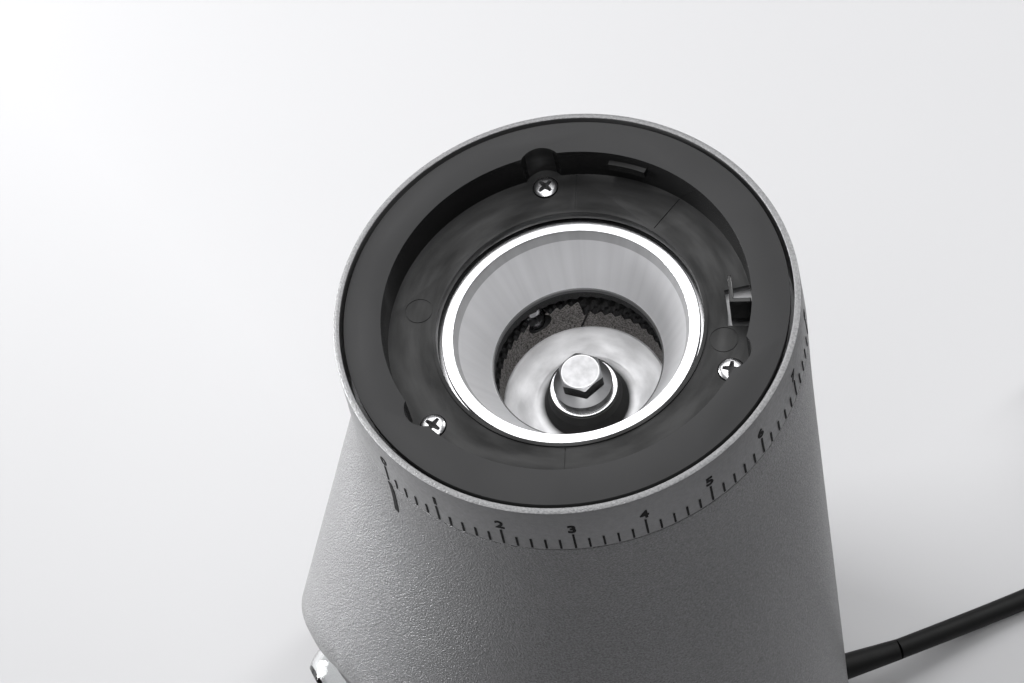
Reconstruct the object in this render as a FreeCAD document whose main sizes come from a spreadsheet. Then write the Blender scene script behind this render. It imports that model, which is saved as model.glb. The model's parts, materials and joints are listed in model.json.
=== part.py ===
import FreeCAD, Part
import Sketcher
import math
import os
from FreeCAD import Placement, Rotation, Vector

# Burr coffee grinder without its bean hopper, standing on a table.
# Millimetres, +Z up, front towards -Y. The origin is on the table, under the middle of the
# grinder's box. Heights are worked out from the rim of the scale ring, so most cells of the
# sheet are depths below that rim.

doc = FreeCAD.newDocument("burr_grinder")
sheet = doc.addObject("Spreadsheet::Sheet", "Size")

SIZES = [
    # overall
    ("rim_height", 235.0),
    ("axis_y", 17.5),
    ("run_gap", 0.3),
    # scale ring and its marks
    ("ring_top_radius", 55.0),
    ("ring_foot_radius", 55.9),
    ("ring_bore", 53.5),
    ("seam_depth", 16.5),
    ("mark_proud", 0.12),
    ("tick_foot_depth", 15.5),
    ("major_tick", 6.0),
    ("minor_tick", 3.7),
    ("tick_width", 0.5),
    ("index_top_depth", 17.2),
    ("index_length", 13.0),
    ("index_width", 0.9),
    # body shell: an oblique cone whose back leans in a little
    ("body_wall", 2.5),
    ("flare", 0.201),
    ("lean", 0.221),
    ("blend_depth", 40.0),
    ("foot_gap", 3.5),
    ("ledge_radius", 47.5),
    ("ledge_depth", 26.0),
    ("ledge_thick", 5.0),
    # rounded front that the shell is cut to
    ("front_reach", 84.0),
    ("front_radius", 90.0),
    ("front_flat", 20.0),
    ("panel_setback", 1.8),
    ("panel_thick", 2.5),
    # base
    ("plate_low", 3.0),
    ("plate_high", 6.0),
    ("shell_clear", 0.3),
    ("rubber_foot_radius", 8.0),
    ("base_post_radius", 4.5),
    ("base_post_top", 22.0),
    # container bay and grounds container
    ("bay_half_width", 47.5),
    ("bay_top", 93.5),
    ("bay_back", 21.5),
    ("bay_wall", 2.5),
    ("jar_half_width", 45.5),
    ("jar_front", 90.9),
    ("jar_back", 24.0),
    ("jar_foot", 8.6),
    ("jar_top", 91.5),
    ("jar_wall", 2.0),
    ("jar_corner", 12.0),
    ("jar_bow", 200.0),
    ("jar_mouth_inset", 9.0),
    # hopper collar
    ("collar_top_depth", 0.5),
    ("collar_radius", 52.5),
    ("collar_bore", 43.65),
    ("collar_flange", 2.5),
    ("collar_wall", 2.0),
    ("floor_depth", 10.0),
    ("floor_thick", 2.0),
    ("floor_bore", 32.0),
    ("lip_rise", 0.6),
    ("lip_width", 0.9),
    ("screw_circle", 40.7),
    ("notch_radius", 5.2),
    ("tab_inner", 42.4),
    ("latch_reach", 38.4),
    # adjuster ring
    ("thread_radius", 35.6),
    ("web_foot_depth", 17.0),
    ("sleeve_radius", 38.5),
    ("sleeve_foot_depth", 22.0),
    ("skirt_inner", 44.0),
    ("skirt_outer", 46.0),
    ("skirt_lip", 48.0),
    ("lip_top_depth", 21.9),
    ("lip_foot_depth", 23.2),
    # upper burr carrier
    ("funnel_top_depth", 11.9),
    ("funnel_rim_inner", 28.3),
    ("funnel_rim_outer", 31.0),
    ("funnel_throat", 20.65),
    ("carrier_shoulder_depth", 13.0),
    ("carrier_radius", 35.5),
    ("carrier_skirt_depth", 24.5),
    ("carrier_foot_depth", 28.2),
    ("carrier_foot_radius", 30.0),
    # burrs
    ("burr_radius", 29.0),
    ("burr_bore", 20.8),
    ("burr_land", 25.5),
    ("upper_teeth_depth", 36.0),
    ("lower_teeth_depth", 36.4),
    ("lower_seat_depth", 44.6),
    ("burr_dish", 3.0),
    ("burr_screw_circle", 24.6),
    # lower carrier, bolt and shaft
    ("disc_radius", 30.2),
    ("disc_foot_depth", 49.5),
    ("hub_radius", 8.4),
    ("hub_top_radius", 8.2),
    ("hub_top_depth", 37.2),
    ("hub_shoulder_depth", 39.3),
    ("hub_foot_depth", 51.5),
    ("dish_depth", 46.2),
    ("collar_ring_radius", 10.6),
    ("washer_thick", 1.6),
    ("bolt_head", 4.0),
    ("bolt_across_flats", 10.0),
    ("bolt_radius", 3.0),
    ("bolt_hole", 3.05),
    ("bolt_end_depth", 62.0),
    ("shaft_radius", 5.0),
    ("shaft_top_depth", 38.7),
    ("shaft_step_depth", 90.0),
    ("shaft_tail_radius", 4.0),
    ("shaft_end_depth", 98.5),
    # grinding chamber
    ("chamber_flange_radius", 53.2),
    ("chamber_flange_depth", 23.5),
    ("chamber_radius", 40.0),
    ("chamber_upper_bore", 36.2),
    ("chamber_bore", 31.2),
    ("shoulder_depth", 30.0),
    ("chamber_floor_depth", 52.0),
    ("chamber_floor_thick", 4.0),
    ("chamber_hub_radius", 19.0),
    ("chamber_hub_foot", 69.0),
    ("pin_circle", 33.4),
    ("pin_radius", 1.25),
    # retaining ring
    ("keeper_bore", 46.4),
    ("keeper_step", 48.4),
    ("keeper_top_depth", 19.6),
    ("keeper_under_depth", 21.6),
    ("keeper_screw_circle", 50.8),
    # bearings
    ("upper_bearing_radius", 13.0),
    ("upper_bearing_depth", 58.0),
    ("upper_bearing_width", 8.0),
    ("lower_bearing_radius", 11.0),
    ("lower_bearing_depth", 91.0),
    ("lower_bearing_width", 7.0),
    ("race_clear", 0.03),
    # gearbox
    ("cover_depth", 69.0),
    ("cover_thick", 3.0),
    ("box_foot_depth", 100.0),
    ("box_floor", 3.0),
    ("box_wall", 2.5),
    ("upper_gear_depth", 74.0),
    ("lower_gear_depth", 82.0),
    ("gear_width", 6.0),
    ("middle_pin_radius", 2.0),
    # motor
    ("motor_radius", 22.5),
    ("motor_foot_depth", 168.0),
    ("motor_wall", 2.0),
    ("motor_shaft_radius", 2.5),
    ("fan_radius", 20.0),
    ("fan_depth", 174.5),
    ("fan_width", 7.0),
    # chute
    ("chute_half_width", 11.0),
    ("chute_wall", 2.0),
    ("chute_front", 54.0),
    ("chute_back", 36.0),
    ("chute_top_depth", 38.0),
    ("chute_foot", 94.0),
    ("port_half_width", 8.0),
    # power button
    ("button_height", 112.0),
    ("button_radius", 8.0),
    ("button_travel", 1.5),
    # cord
    ("cord_radius", 3.2),
    ("gland_height", 11.0),
    ("boot_length", 20.0),
    ("coil_inner", 24.4),
    ("coil_outer", 44.6),
    ("coil_height", 12.8),
]

for row, (alias, value) in enumerate(SIZES, start=1):
    sheet.set("A%d" % row, alias)
    sheet.set("B%d" % row, str(value))
    sheet.setAlias("B%d" % row, alias)
doc.recompute()

nodes = {}


def size(expression):
    """The value of an expression over the sheet's cells."""
    return float(sheet.evalExpression(expression))


def below(depth):
    """Height over the table of a depth below the rim."""
    return "Size.rim_height - (%s)" % depth


def keep(thing, label):
    """Name a finished sub-part."""
    thing.Label = label
    nodes[label] = thing
    return thing


def set_place(thing, x="0", y="0", z="0", turn=None):
    """Place an object by expressions; y counts from the grinding axis."""
    if turn is not None:
        thing.Placement = Placement(Vector(0, 0, 0), turn)
    thing.setExpression("Placement.Base.x", x)
    thing.setExpression("Placement.Base.y", "Size.axis_y + (%s)" % y)
    thing.setExpression("Placement.Base.z", z)
    return thing


def primitive(kind, name, sizes, x="0", y="0", z="0", turn=None):
    thing = doc.addObject("Part::" + kind, name)
    for prop, expression in sizes.items():
        thing.setExpression(prop, expression)
    return set_place(thing, x, y, z, turn)


def cylinder(name, radius, low, high, x="0", y="0"):
    """Upright cylinder between two heights."""
    sizes = {"Radius": radius, "Height": "(%s) - (%s)" % (high, low)}
    return primitive("Cylinder", name, sizes, x, y, low)


def box(name, x_low, x_high, y_low, y_high, z_low, z_high):
    """Box between limits; y counts from the grinding axis."""
    sizes = {
        "Length": "(%s) - (%s)" % (x_high, x_low),
        "Width": "(%s) - (%s)" % (y_high, y_low),
        "Height": "(%s) - (%s)" % (z_high, z_low),
    }
    return primitive("Box", name, sizes, x_low, y_low, z_low)


def cut(name, base, tool):
    thing = doc.addObject("Part::Cut", name)
    thing.Base = base
    thing.Tool = tool
    return thing


def common(name, base, tool):
    thing = doc.addObject("Part::Common", name)
    thing.Base = base
    thing.Tool = tool
    return thing


def fuse(name, parts):
    thing = doc.addObject("Part::MultiFuse", name)
    thing.Shapes = parts
    return thing


def group(name, parts):
    """Separate solids that share one node."""
    thing = doc.addObject("Part::Compound", name)
    thing.Links = parts
    return thing


def turned(name, points, x="0", y="0"):
    """Body of revolution: a sketch of (radius, height) points about an upright axis."""
    body = doc.addObject("PartDesign::Body", name)
    plane = [f for f in body.Origin.OriginFeatures if f.Role == "XZ_Plane"][0]
    sketch = body.newObject("Sketcher::SketchObject", name + "_profile")
    sketch.AttachmentSupport = [(plane, "")]
    sketch.MapMode = "FlatFace"
    spots = [Vector(size(radius), size(height), 0) for radius, height in points]
    for i, spot in enumerate(spots):
        sketch.addGeometry(Part.LineSegment(spot, spots[(i + 1) % len(spots)]), False)
    for i in range(len(spots)):
        sketch.addConstraint(Sketcher.Constraint("Coincident", i, 2, (i + 1) % len(spots), 1))
    for i, (radius, height) in enumerate(points):
        for letter, value, expression in (("X", spots[i].x, radius), ("Y", spots[i].y, height)):
            if value == 0.0:
                line = -2 if letter == "X" else -1
                sketch.addConstraint(Sketcher.Constraint("PointOnObject", i, 1, line))
                continue
            rule = Sketcher.Constraint("Distance" + letter, -1, 1, i, 1, value)
            number = sketch.addConstraint(rule)
            label = "%s%d" % (letter.lower(), i)
            sketch.renameConstraint(number, label)
            sketch.setExpression("Constraints." + label, expression)
    turn = body.newObject("PartDesign::Revolution", name + "_turn")
    turn.Profile = sketch
    turn.ReferenceAxis = (sketch, ["V_Axis"])
    turn.Angle = 360
    set_place(body, x, y)
    return body


def tube(name, inner, outer, low, high, x="0", y="0"):
    """Plain ring of rectangular section."""
    return turned(name, [(inner, low), (outer, low), (outer, high), (inner, high)], x, y)


def around(radius, angle):
    """x and y expressions of a point on a circle about the grinding axis."""
    x = "(%s) * cos(%s deg)" % (radius, angle)
    y = "(%s) * sin(%s deg)" % (radius, angle)
    return x, y


def sector(name, inner, outer, low, high, start, sweep):
    """Part of a ring, from the angle start through the angle sweep."""
    parts = []
    for tag, radius in (("_outer", outer), ("_inner", inner)):
        sizes = {"Radius": radius, "Height": "(%s) - (%s)" % (high, low), "Angle": "%s deg" % sweep}
        parts.append(primitive("Cylinder", name + tag, sizes, z=low, turn=Rotation(start, 0, 0)))
    return cut(name, parts[0], parts[1])


def screw_group(label, places, head_radius, head_low, head_high, shank_radius, shank_end, slot=True):
    """Upright screws that share one node; the head may lie over or under the shank."""
    screws = []
    for i, (x, y) in enumerate(places):
        name = "%s_%d" % (label, i)
        head = cylinder(name + "_head", head_radius, head_low, head_high, x, y)
        downwards = size(shank_end) < size(head_low)
        if downwards:
            shank = cylinder(name + "_shank", shank_radius, shank_end, head_low, x, y)
        else:
            shank = cylinder(name + "_shank", shank_radius, head_high, shank_end, x, y)
        whole = fuse(name + "_whole", [head, shank])
        if not slot:
            screws.append(whole)
            continue
        face = head_high if downwards else head_low
        sink = 0.45 * (size(head_high) - size(head_low))
        low = "%s - %.3f" % (face, sink) if downwards else "%s - 1" % face
        high = "%s + 1" % face if downwards else "%s + %.3f" % (face, sink)
        arm = 0.62 * size(head_radius)
        bar = 0.13 * size(head_radius)
        bars = []
        for tag, half_x, half_y in (("_slot_a", arm, bar), ("_slot_b", bar, arm)):
            limits = ["(%s) - %.3f" % (x, half_x), "(%s) + %.3f" % (x, half_x)]
            limits += ["(%s) - %.3f" % (y, half_y), "(%s) + %.3f" % (y, half_y)]
            bars.append(box(name + tag, limits[0], limits[1], limits[2], limits[3], low, high))
        screws.append(cut(name + "_cross", whole, fuse(name + "_slots", bars)))
    return keep(group(label, screws), label)


def holes(name, places, radius, low, high):
    return fuse(name, [cylinder("%s_%d" % (name, i), radius, low, high, x, y)
                       for i, (x, y) in enumerate(places)])


# ---------------------------------------------------------------- body shell

def lead(drop):
    """How far the flare has run at a drop below the seam: a curve, then a straight slope."""
    blend = size("Size.blend_depth")
    if drop < blend:
        return "(%.3f ^ 2 / (2 * Size.blend_depth))" % drop
    return "(%.3f - Size.blend_depth / 2)" % drop


def flared(name, grow, foot):
    """Solid of the oblique cone, its radius made larger by grow, down to the height foot."""
    top = size("Size.rim_height - Size.seam_depth")
    blend = size("Size.blend_depth")
    steps = 5
    drops = [blend * i / steps for i in range(steps + 1)] + [top - size(foot)]
    circles = []
    for i, drop in enumerate(drops):
        circle = doc.addObject("Part::Circle", "%s_circle_%d" % (name, i))
        circle.setExpression(
            "Radius", "Size.ring_foot_radius + Size.flare * %s + (%s)" % (lead(drop), grow))
        height = below("Size.seam_depth + %.3f" % drop)
        circles.append(set_place(circle, "0", "-Size.lean * " + lead(drop), height))
    lofts = []
    for tag, span in (("_blend", circles[:-1]), ("_cone", circles[-2:])):
        loft = doc.addObject("Part::Loft", name + tag)
        loft.Sections = span
        loft.Solid = True
        loft.Ruled = tag == "_cone"
        lofts.append(loft)
    return fuse(name, lofts)


def front_prism(name, setback, low, high):
    """Everything behind the grinder's rounded front, moved back by setback."""
    radius = "Size.front_radius - (%s)" % setback
    y = "Size.front_radius - Size.front_reach"
    left = cylinder(name + "_left", radius, low, high, "-Size.front_flat", y)
    right = cylinder(name + "_right", radius, low, high, "Size.front_flat", y)
    middle = box(name + "_middle", "-Size.front_flat", "Size.front_flat",
                 "-Size.front_reach + (%s)" % setback,
                 "2 * Size.front_radius - Size.front_reach - (%s)" % setback, low, high)
    return fuse(name, [left, right, middle])


SEAM = below("Size.seam_depth")
BASE_POSTS = [("77", "-1"), ("-77", "-1"), ("51", "29.5"), ("-51", "29.5")]
KEEPER_SCREWS = [around("Size.keeper_screw_circle", angle) for angle in (90, 210, 330)]

outer_cone = flared("outer_cone", "0", "Size.foot_gap")
inner_cone = flared("inner_cone", "-Size.body_wall", "0")
ledge = tube("ledge", "Size.ledge_radius", "Size.ring_bore + 0.4",
             below("Size.ledge_depth + Size.ledge_thick"), below("Size.ledge_depth"))
posts = [cylinder("base_post_%d" % i, "Size.base_post_radius", "Size.plate_high",
                  "Size.base_post_top", x, y) for i, (x, y) in enumerate(BASE_POSTS)]
wall = cut("wall", outer_cone, inner_cone)
skin = common("skin", fuse("wall_with_bosses", [wall, ledge] + posts),
              front_prism("shell_front", "0", "0", SEAM))
gland_turn = Rotation(Vector(0, 0, 1), Vector(37.0, 87.6, 0))
gland_x = "36.4"
gland_y = "44.8"
gland_hole = primitive("Cylinder", "gland_hole", {"Radius": "4.65", "Height": "24"},
                       gland_x + " - 12 * 0.389", gland_y + " - 12 * 0.921", "Size.gland_height", gland_turn)
shell_cuts = fuse("shell_cuts", [
    holes("ledge_holes", KEEPER_SCREWS, "1.3", below("Size.ledge_depth + 6"), SEAM),
    holes("post_holes", BASE_POSTS, "1.6", "Size.plate_low", "18"),
    gland_hole,
])
keep(cut("body_shell_solid", skin, shell_cuts), "body_shell")

index_skin = cut("index_skin", flared("index_cone", "Size.mark_proud", "150"), outer_cone)
index_box = box("index_box", "-Size.index_width / 2", "Size.index_width / 2",
                "-Size.ring_foot_radius - 12", "-Size.ring_foot_radius + 12",
                below("Size.index_top_depth + Size.index_length"), below("Size.index_top_depth"))
keep(common("index_mark_solid", index_skin, index_box), "index_mark")

# ---------------------------------------------------------------- base

plate_cone = flared("plate_cone", "-Size.body_wall - Size.shell_clear", "0")
plate_slab = common("plate_slab", plate_cone, front_prism(
    "plate_front", "Size.panel_setback", "Size.plate_low", "Size.plate_high"))
sinks = holes("plate_sinks", BASE_POSTS, "3.6", "Size.plate_low", "Size.plate_low + 1.8")
plate_holes = holes("plate_holes", BASE_POSTS, "1.7", "Size.plate_low", "Size.plate_high")
keep(cut("base_plate_solid", plate_slab, fuse("plate_cuts", [sinks, plate_holes])), "base_plate")
screw_group("base_screws", BASE_POSTS, "3.4", "Size.plate_low + 0.1", "Size.plate_low + 1.8",
            "1.55", "17")
FEET = [("62", "-38"), ("-62", "-38"), ("48", "18"), ("-48", "18")]
keep(group("rubber_feet_group", [
    cylinder("rubber_foot_%d" % i, "Size.rubber_foot_radius", "0", "Size.plate_low", x, y)
    for i, (x, y) in enumerate(FEET)]), "rubber_feet")

# ---------------------------------------------------------------- front panel, bay, container

panel_cone = common("panel_cone", plate_cone, front_prism(
    "panel_outer", "Size.panel_setback", "Size.plate_high", below("95")))
panel_back = front_prism("panel_inner", "Size.panel_setback + Size.panel_thick", "0", SEAM)
panel_slab = cut("panel_slab", panel_cone, panel_back)
mouth = box("panel_mouth", "-Size.bay_half_width", "Size.bay_half_width", "-95", "-20",
            "0", "Size.bay_top")
button_hole = primitive("Cylinder", "button_hole", {"Radius": "Size.button_radius + 1.3",
                        "Height": "20"}, "0", "-90", "Size.button_height",
                        Rotation(Vector(0, 0, 1), Vector(0, 1, 0)))
rear_half = box("panel_rear_half", "-110", "110", "0.7", "110", "0", SEAM)
keep(cut("front_panel_solid", panel_slab, fuse("panel_cuts", [mouth, button_hole, rear_half])),
     "front_panel")

bay_block = box("bay_block", "-Size.bay_half_width - Size.bay_wall",
                "Size.bay_half_width + Size.bay_wall", "-95", "-Size.bay_back + Size.bay_wall",
                "Size.plate_high", "Size.bay_top + Size.bay_wall")
bay_room = box("bay_room", "-Size.bay_half_width", "Size.bay_half_width", "-100",
               "-Size.bay_back", "Size.plate_high + 2", "Size.bay_top")
bay_slot = box("bay_slot", "-Size.chute_half_width - Size.run_gap",
               "Size.chute_half_width + Size.run_gap", "-Size.chute_front - Size.run_gap",
               "-Size.chute_back + Size.run_gap", "Size.bay_top - 1", "Size.bay_top + 5")
bay_shape = common("bay_shape", bay_block, front_prism(
    "bay_front", "Size.panel_setback + Size.panel_thick", "0", SEAM))
keep(cut("container_bay_solid", bay_shape, fuse("bay_cuts", [bay_room, bay_slot])),
     "container_bay")


def rounded_jar(name, inset, low, high, shoulder):
    """Block with round upright corners and a round shoulder, bowed at the front."""
    radius = max(size("Size.jar_corner") - size(inset), 2.0)
    block = box(name + "_block", "-Size.jar_half_width + " + inset,
                "Size.jar_half_width - " + inset, "-Size.jar_front + " + inset,
                "-Size.jar_back - " + inset, low, high)
    doc.recompute()
    edges = []
    for i, edge in enumerate(block.Shape.Edges, start=1):
        middle = edge.CenterOfMass
        upright = abs(edge.BoundBox.ZLength) > 1
        on_top = abs(middle.z - size(high)) < 0.01
        if upright or (on_top and shoulder):
            edges.append((i, radius, radius))
    rounded = doc.addObject("Part::Fillet", name + "_rounded")
    rounded.Base = block
    rounded.Edges = edges
    bow = cylinder(name + "_bow", "Size.jar_bow - " + inset, low, high, "0",
                   "Size.jar_bow - Size.jar_front")
    return common(name, rounded, bow)


jar_outer = rounded_jar("jar_outer", "0", "Size.jar_foot", "Size.jar_top", True)
jar_inner = rounded_jar("jar_inner", "Size.jar_wall", "Size.jar_foot + Size.jar_wall",
                        "Size.jar_top - Size.jar_wall", True)
jar_mouth = rounded_jar("jar_mouth", "Size.jar_mouth_inset", "Size.jar_top - 10",
                        "Size.jar_top + 5", False)
keep(cut("grounds_container_solid", jar_outer, fuse("jar_room", [jar_inner, jar_mouth])),
     "grounds_container")

# ---------------------------------------------------------------- scale ring

keep(turned("scale_ring_body", [
    ("Size.ring_bore", "Size.rim_height"),
    ("Size.ring_top_radius", "Size.rim_height"),
    ("Size.ring_foot_radius", below("Size.seam_depth - Size.run_gap")),
    ("Size.ring_bore", below("Size.seam_depth - Size.run_gap")),
]), "scale_ring")

SCALE_STEPS = 40
STEP_ANGLE = 137.3 / SCALE_STEPS
ring_slope = "(Size.ring_foot_radius - Size.ring_top_radius) / (Size.seam_depth - Size.run_gap)"
high_tick = "Size.tick_foot_depth - Size.major_tick"
skin_points = []
for depth, grow in ((high_tick, "0"), (high_tick, "Size.mark_proud"),
                    ("Size.tick_foot_depth", "Size.mark_proud"), ("Size.tick_foot_depth", "0")):
    radius = "Size.ring_top_radius + %s * (%s) + %s" % (ring_slope, depth, grow)
    skin_points.append((radius, below(depth)))
tick_skin = turned("tick_skin", skin_points)
ticks = []
for step in range(SCALE_STEPS + 1):
    length = "Size.major_tick" if step % 5 == 0 else "Size.minor_tick"
    tick = doc.addObject("Part::Box", "tick_%d" % step)
    tick.setExpression("Length", "4")
    tick.setExpression("Width", "Size.tick_width")
    tick.setExpression("Height", length)
    angle = -90 + step * STEP_ANGLE
    middle_x, middle_y = around("54", "%.4f" % angle)
    shift_x = "Size.tick_width / 2 * sin(%.4f deg)" % angle
    shift_y = "Size.tick_width / 2 * cos(%.4f deg)" % angle
    set_place(tick, "%s + %s" % (middle_x, shift_x), "%s - %s" % (middle_y, shift_y),
              below("Size.tick_foot_depth"), Rotation(angle, 0, 0))
    ticks.append(tick)
keep(common("scale_marks_solid", tick_skin, fuse("tick_boxes", ticks)), "scale_marks")

# ---------------------------------------------------------------- hopper collar and latch

COLLAR_SCREWS = [around("Size.screw_circle", angle) for angle in (-91.2, 28.8, 148.8)]
FLOOR = below("Size.floor_depth")
UNDER = below("Size.floor_depth + Size.floor_thick")
FLANGE_UNDER = below("Size.collar_top_depth + Size.collar_flange")
collar_blank = turned("collar_blank", [
    ("Size.collar_bore", below("Size.collar_top_depth")),
    ("Size.collar_radius", below("Size.collar_top_depth")),
    ("Size.collar_radius", FLANGE_UNDER),
    ("Size.collar_bore + Size.collar_wall", FLANGE_UNDER),
    ("Size.collar_bore + Size.collar_wall", UNDER),
    ("Size.floor_bore", UNDER),
    ("Size.floor_bore", FLOOR + " + Size.lip_rise"),
    ("Size.floor_bore + Size.lip_width", FLOOR + " + Size.lip_rise"),
    ("Size.floor_bore + Size.lip_width", FLOOR),
    ("Size.collar_bore", FLOOR),
])
pads = [cylinder("collar_pad_%d" % i, "Size.notch_radius + 1.6", UNDER,
                 below("Size.collar_top_depth"), x, y) for i, (x, y) in enumerate(COLLAR_SCREWS)]
pad_clear = cylinder("pad_clear", "Size.collar_bore", FLOOR, "Size.rim_height")
pads_trimmed = cut("pads_trimmed", fuse("pads", pads), pad_clear)
tabs = [sector("bayonet_tab_%d" % i, "Size.tab_inner", "Size.collar_bore + 0.4",
               FLANGE_UNDER + " - 2.6", FLANGE_UNDER + " - 0.4", start, 12.6)
        for i, start in enumerate((113.8, -66.3))]
collar_full = fuse("collar_full", [collar_blank, pads_trimmed] + tabs)
latch_slot = sector("latch_slot", "37.5", "Size.collar_bore - 0.05", UNDER + " - 1",
                    FLOOR + " + 1", 46, 15)
collar_cuts = fuse("collar_cuts", [
    holes("collar_notches", COLLAR_SCREWS, "Size.notch_radius", FLOOR, "Size.rim_height"),
    holes("collar_sinks", COLLAR_SCREWS, "3.2", FLOOR + " - 1.2", FLOOR),
    holes("collar_holes", COLLAR_SCREWS, "1.6", UNDER, FLOOR),
    latch_slot,
])
keep(cut("hopper_collar_solid", collar_full, collar_cuts), "hopper_collar")
screw_group("collar_screws", COLLAR_SCREWS, "3.0", FLOOR + " - 1.2", FLOOR + " + 0.8",
            "1.5", UNDER + " - 4")

LATCH_LOW = FLOOR + " - 1.7"
LATCH_HIGH = below("Size.collar_top_depth + 0.4")
latch_leg = sector("latch_leg", "Size.latch_reach", "Size.collar_bore - 0.15", LATCH_LOW,
                   LATCH_HIGH, 47.3, 1.6)
latch_finger = sector("latch_finger", "Size.latch_reach", "Size.latch_reach + 0.9", LATCH_LOW,
                      LATCH_HIGH, 47.3, 11)
keep(fuse("hopper_latch_solid", [latch_leg, latch_finger]), "hopper_latch")

# ---------------------------------------------------------------- adjuster and retaining ring

RING_FOOT = below("Size.seam_depth - Size.run_gap")
WEB_FOOT = below("Size.web_foot_depth")
adjuster_blank = turned("adjuster_blank", [
    ("Size.thread_radius", UNDER),
    ("Size.ring_bore", UNDER),
    ("Size.ring_bore", RING_FOOT),
    ("Size.ring_bore - 0.5", RING_FOOT),
    ("Size.ring_bore - 0.5", WEB_FOOT),
    ("Size.skirt_outer", WEB_FOOT),
    ("Size.skirt_outer", below("Size.lip_top_depth")),
    ("Size.skirt_lip", below("Size.lip_top_depth")),
    ("Size.skirt_lip", below("Size.lip_foot_depth")),
    ("Size.skirt_inner", below("Size.lip_foot_depth")),
    ("Size.skirt_inner", WEB_FOOT),
    ("Size.sleeve_radius", WEB_FOOT),
    ("Size.sleeve_radius", below("Size.sleeve_foot_depth")),
    ("Size.thread_radius", below("Size.sleeve_foot_depth")),
])
adjuster_holes = holes("adjuster_holes", COLLAR_SCREWS, "1.55", WEB_FOOT, UNDER)
keep(cut("adjuster_ring_solid", adjuster_blank, adjuster_holes), "adjuster_ring")

keeper_blank = turned("keeper_blank", [
    ("Size.keeper_bore", below("Size.keeper_top_depth")),
    ("Size.chamber_flange_radius", below("Size.keeper_top_depth")),
    ("Size.chamber_flange_radius", below("Size.chamber_flange_depth")),
    ("Size.keeper_step", below("Size.chamber_flange_depth")),
    ("Size.keeper_step", below("Size.keeper_under_depth")),
    ("Size.keeper_bore", below("Size.keeper_under_depth")),
])
keeper_holes = holes("keeper_holes", KEEPER_SCREWS, "1.3",
                     below("Size.chamber_flange_depth"), SEAM)
keep(cut("retaining_ring_solid", keeper_blank, keeper_holes), "retaining_ring")
screw_group("retaining_screws", KEEPER_SCREWS, "2.2", below("Size.keeper_top_depth"),
            below("Size.keeper_top_depth - 1.8"), "1.25", below("30"))

# ---------------------------------------------------------------- upper burr and its carrier

GUIDE_PINS = [around("Size.pin_circle", angle) for angle in (60, 180, 300)]
BURR_SCREWS = [around("Size.burr_screw_circle", angle) for angle in (52, 172, 292)]
CARRIER_FOOT = below("Size.carrier_foot_depth")
carrier_blank = turned("carrier_blank", [
    ("Size.funnel_rim_inner", below("Size.funnel_top_depth")),
    ("Size.funnel_rim_outer", below("Size.funnel_top_depth")),
    ("Size.funnel_rim_outer", below("Size.carrier_shoulder_depth")),
    ("Size.carrier_radius", below("Size.carrier_shoulder_depth")),
    ("Size.carrier_radius", below("Size.carrier_skirt_depth")),
    ("Size.carrier_foot_radius", below("Size.carrier_skirt_depth")),
    ("Size.carrier_foot_radius", CARRIER_FOOT),
    ("Size.funnel_throat", CARRIER_FOOT),
    ("Size.funnel_throat", below("Size.carrier_foot_depth - 0.8")),
    ("Size.funnel_rim_inner - 0.4", below("Size.funnel_top_depth + 1.7")),
    ("Size.funnel_rim_inner", below("Size.funnel_top_depth + 0.7")),
])
carrier_cuts = fuse("carrier_cuts", [
    holes("guide_holes", GUIDE_PINS, "Size.pin_radius + 0.1", CARRIER_FOOT, below("15")),
    holes("carrier_taps", BURR_SCREWS, "1.65", CARRIER_FOOT, below("24.2")),
])
keep(cut("upper_burr_carrier_solid", carrier_blank, carrier_cuts), "upper_burr_carrier")


def burr(name, seat, teeth, dish):
    """Flat burr ring: a level outer land and a dished inner breaking zone."""
    return turned(name, [
        ("Size.burr_bore", below(seat)),
        ("Size.burr_radius", below(seat)),
        ("Size.burr_radius", below(teeth)),
        ("Size.burr_land", below(teeth)),
        ("Size.burr_bore", below("%s %s Size.burr_dish" % (teeth, dish))),
    ])


def burr_bolts(label, seat_low, seat_high, thread_end):
    """Three countersunk screws; seat_low and seat_high are the limits of the head."""
    screw_group(label, BURR_SCREWS, "2.8", seat_low, seat_high, "1.6", thread_end)


upper_blank = burr("upper_burr_blank", "Size.carrier_foot_depth", "Size.upper_teeth_depth", "-")
upper_cuts = fuse("upper_burr_cuts", [
    holes("upper_burr_sinks", BURR_SCREWS, "2.9", below("37"), below("32.4")),
    holes("upper_burr_holes", BURR_SCREWS, "1.65", below("37"), CARRIER_FOOT),
])
keep(cut("upper_burr_solid", upper_blank, upper_cuts), "upper_burr")
burr_bolts("upper_burr_screws", below("34.6"), below("32.4"), below("24.6"))

keep(group("guide_pins_group", [
    cylinder("guide_pin_%d" % i, "Size.pin_radius", below("38"), below("17"), x, y)
    for i, (x, y) in enumerate(GUIDE_PINS)]), "guide_pins")
keep(group("carrier_springs_group", [
    tube("carrier_spring_%d" % i, "Size.pin_radius + 0.15", "Size.pin_radius + 0.9",
         below("Size.shoulder_depth"), below("Size.carrier_skirt_depth + 0.05"), x, y)
    for i, (x, y) in enumerate(GUIDE_PINS)]), "carrier_springs")

# ---------------------------------------------------------------- lower burr, carrier and shaft

lower_blank = burr("lower_burr_blank", "Size.lower_seat_depth", "Size.lower_teeth_depth", "+")
lower_cuts = fuse("lower_burr_cuts", [
    holes("lower_burr_sinks", BURR_SCREWS, "2.9", below("40.2"), below("35")),
    holes("lower_burr_holes", BURR_SCREWS, "1.65", below("45"), below("35")),
])
keep(cut("lower_burr_solid", lower_blank, lower_cuts), "lower_burr")
burr_bolts("lower_burr_screws", below("40.2"), below("38"), below("48.5"))

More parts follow.
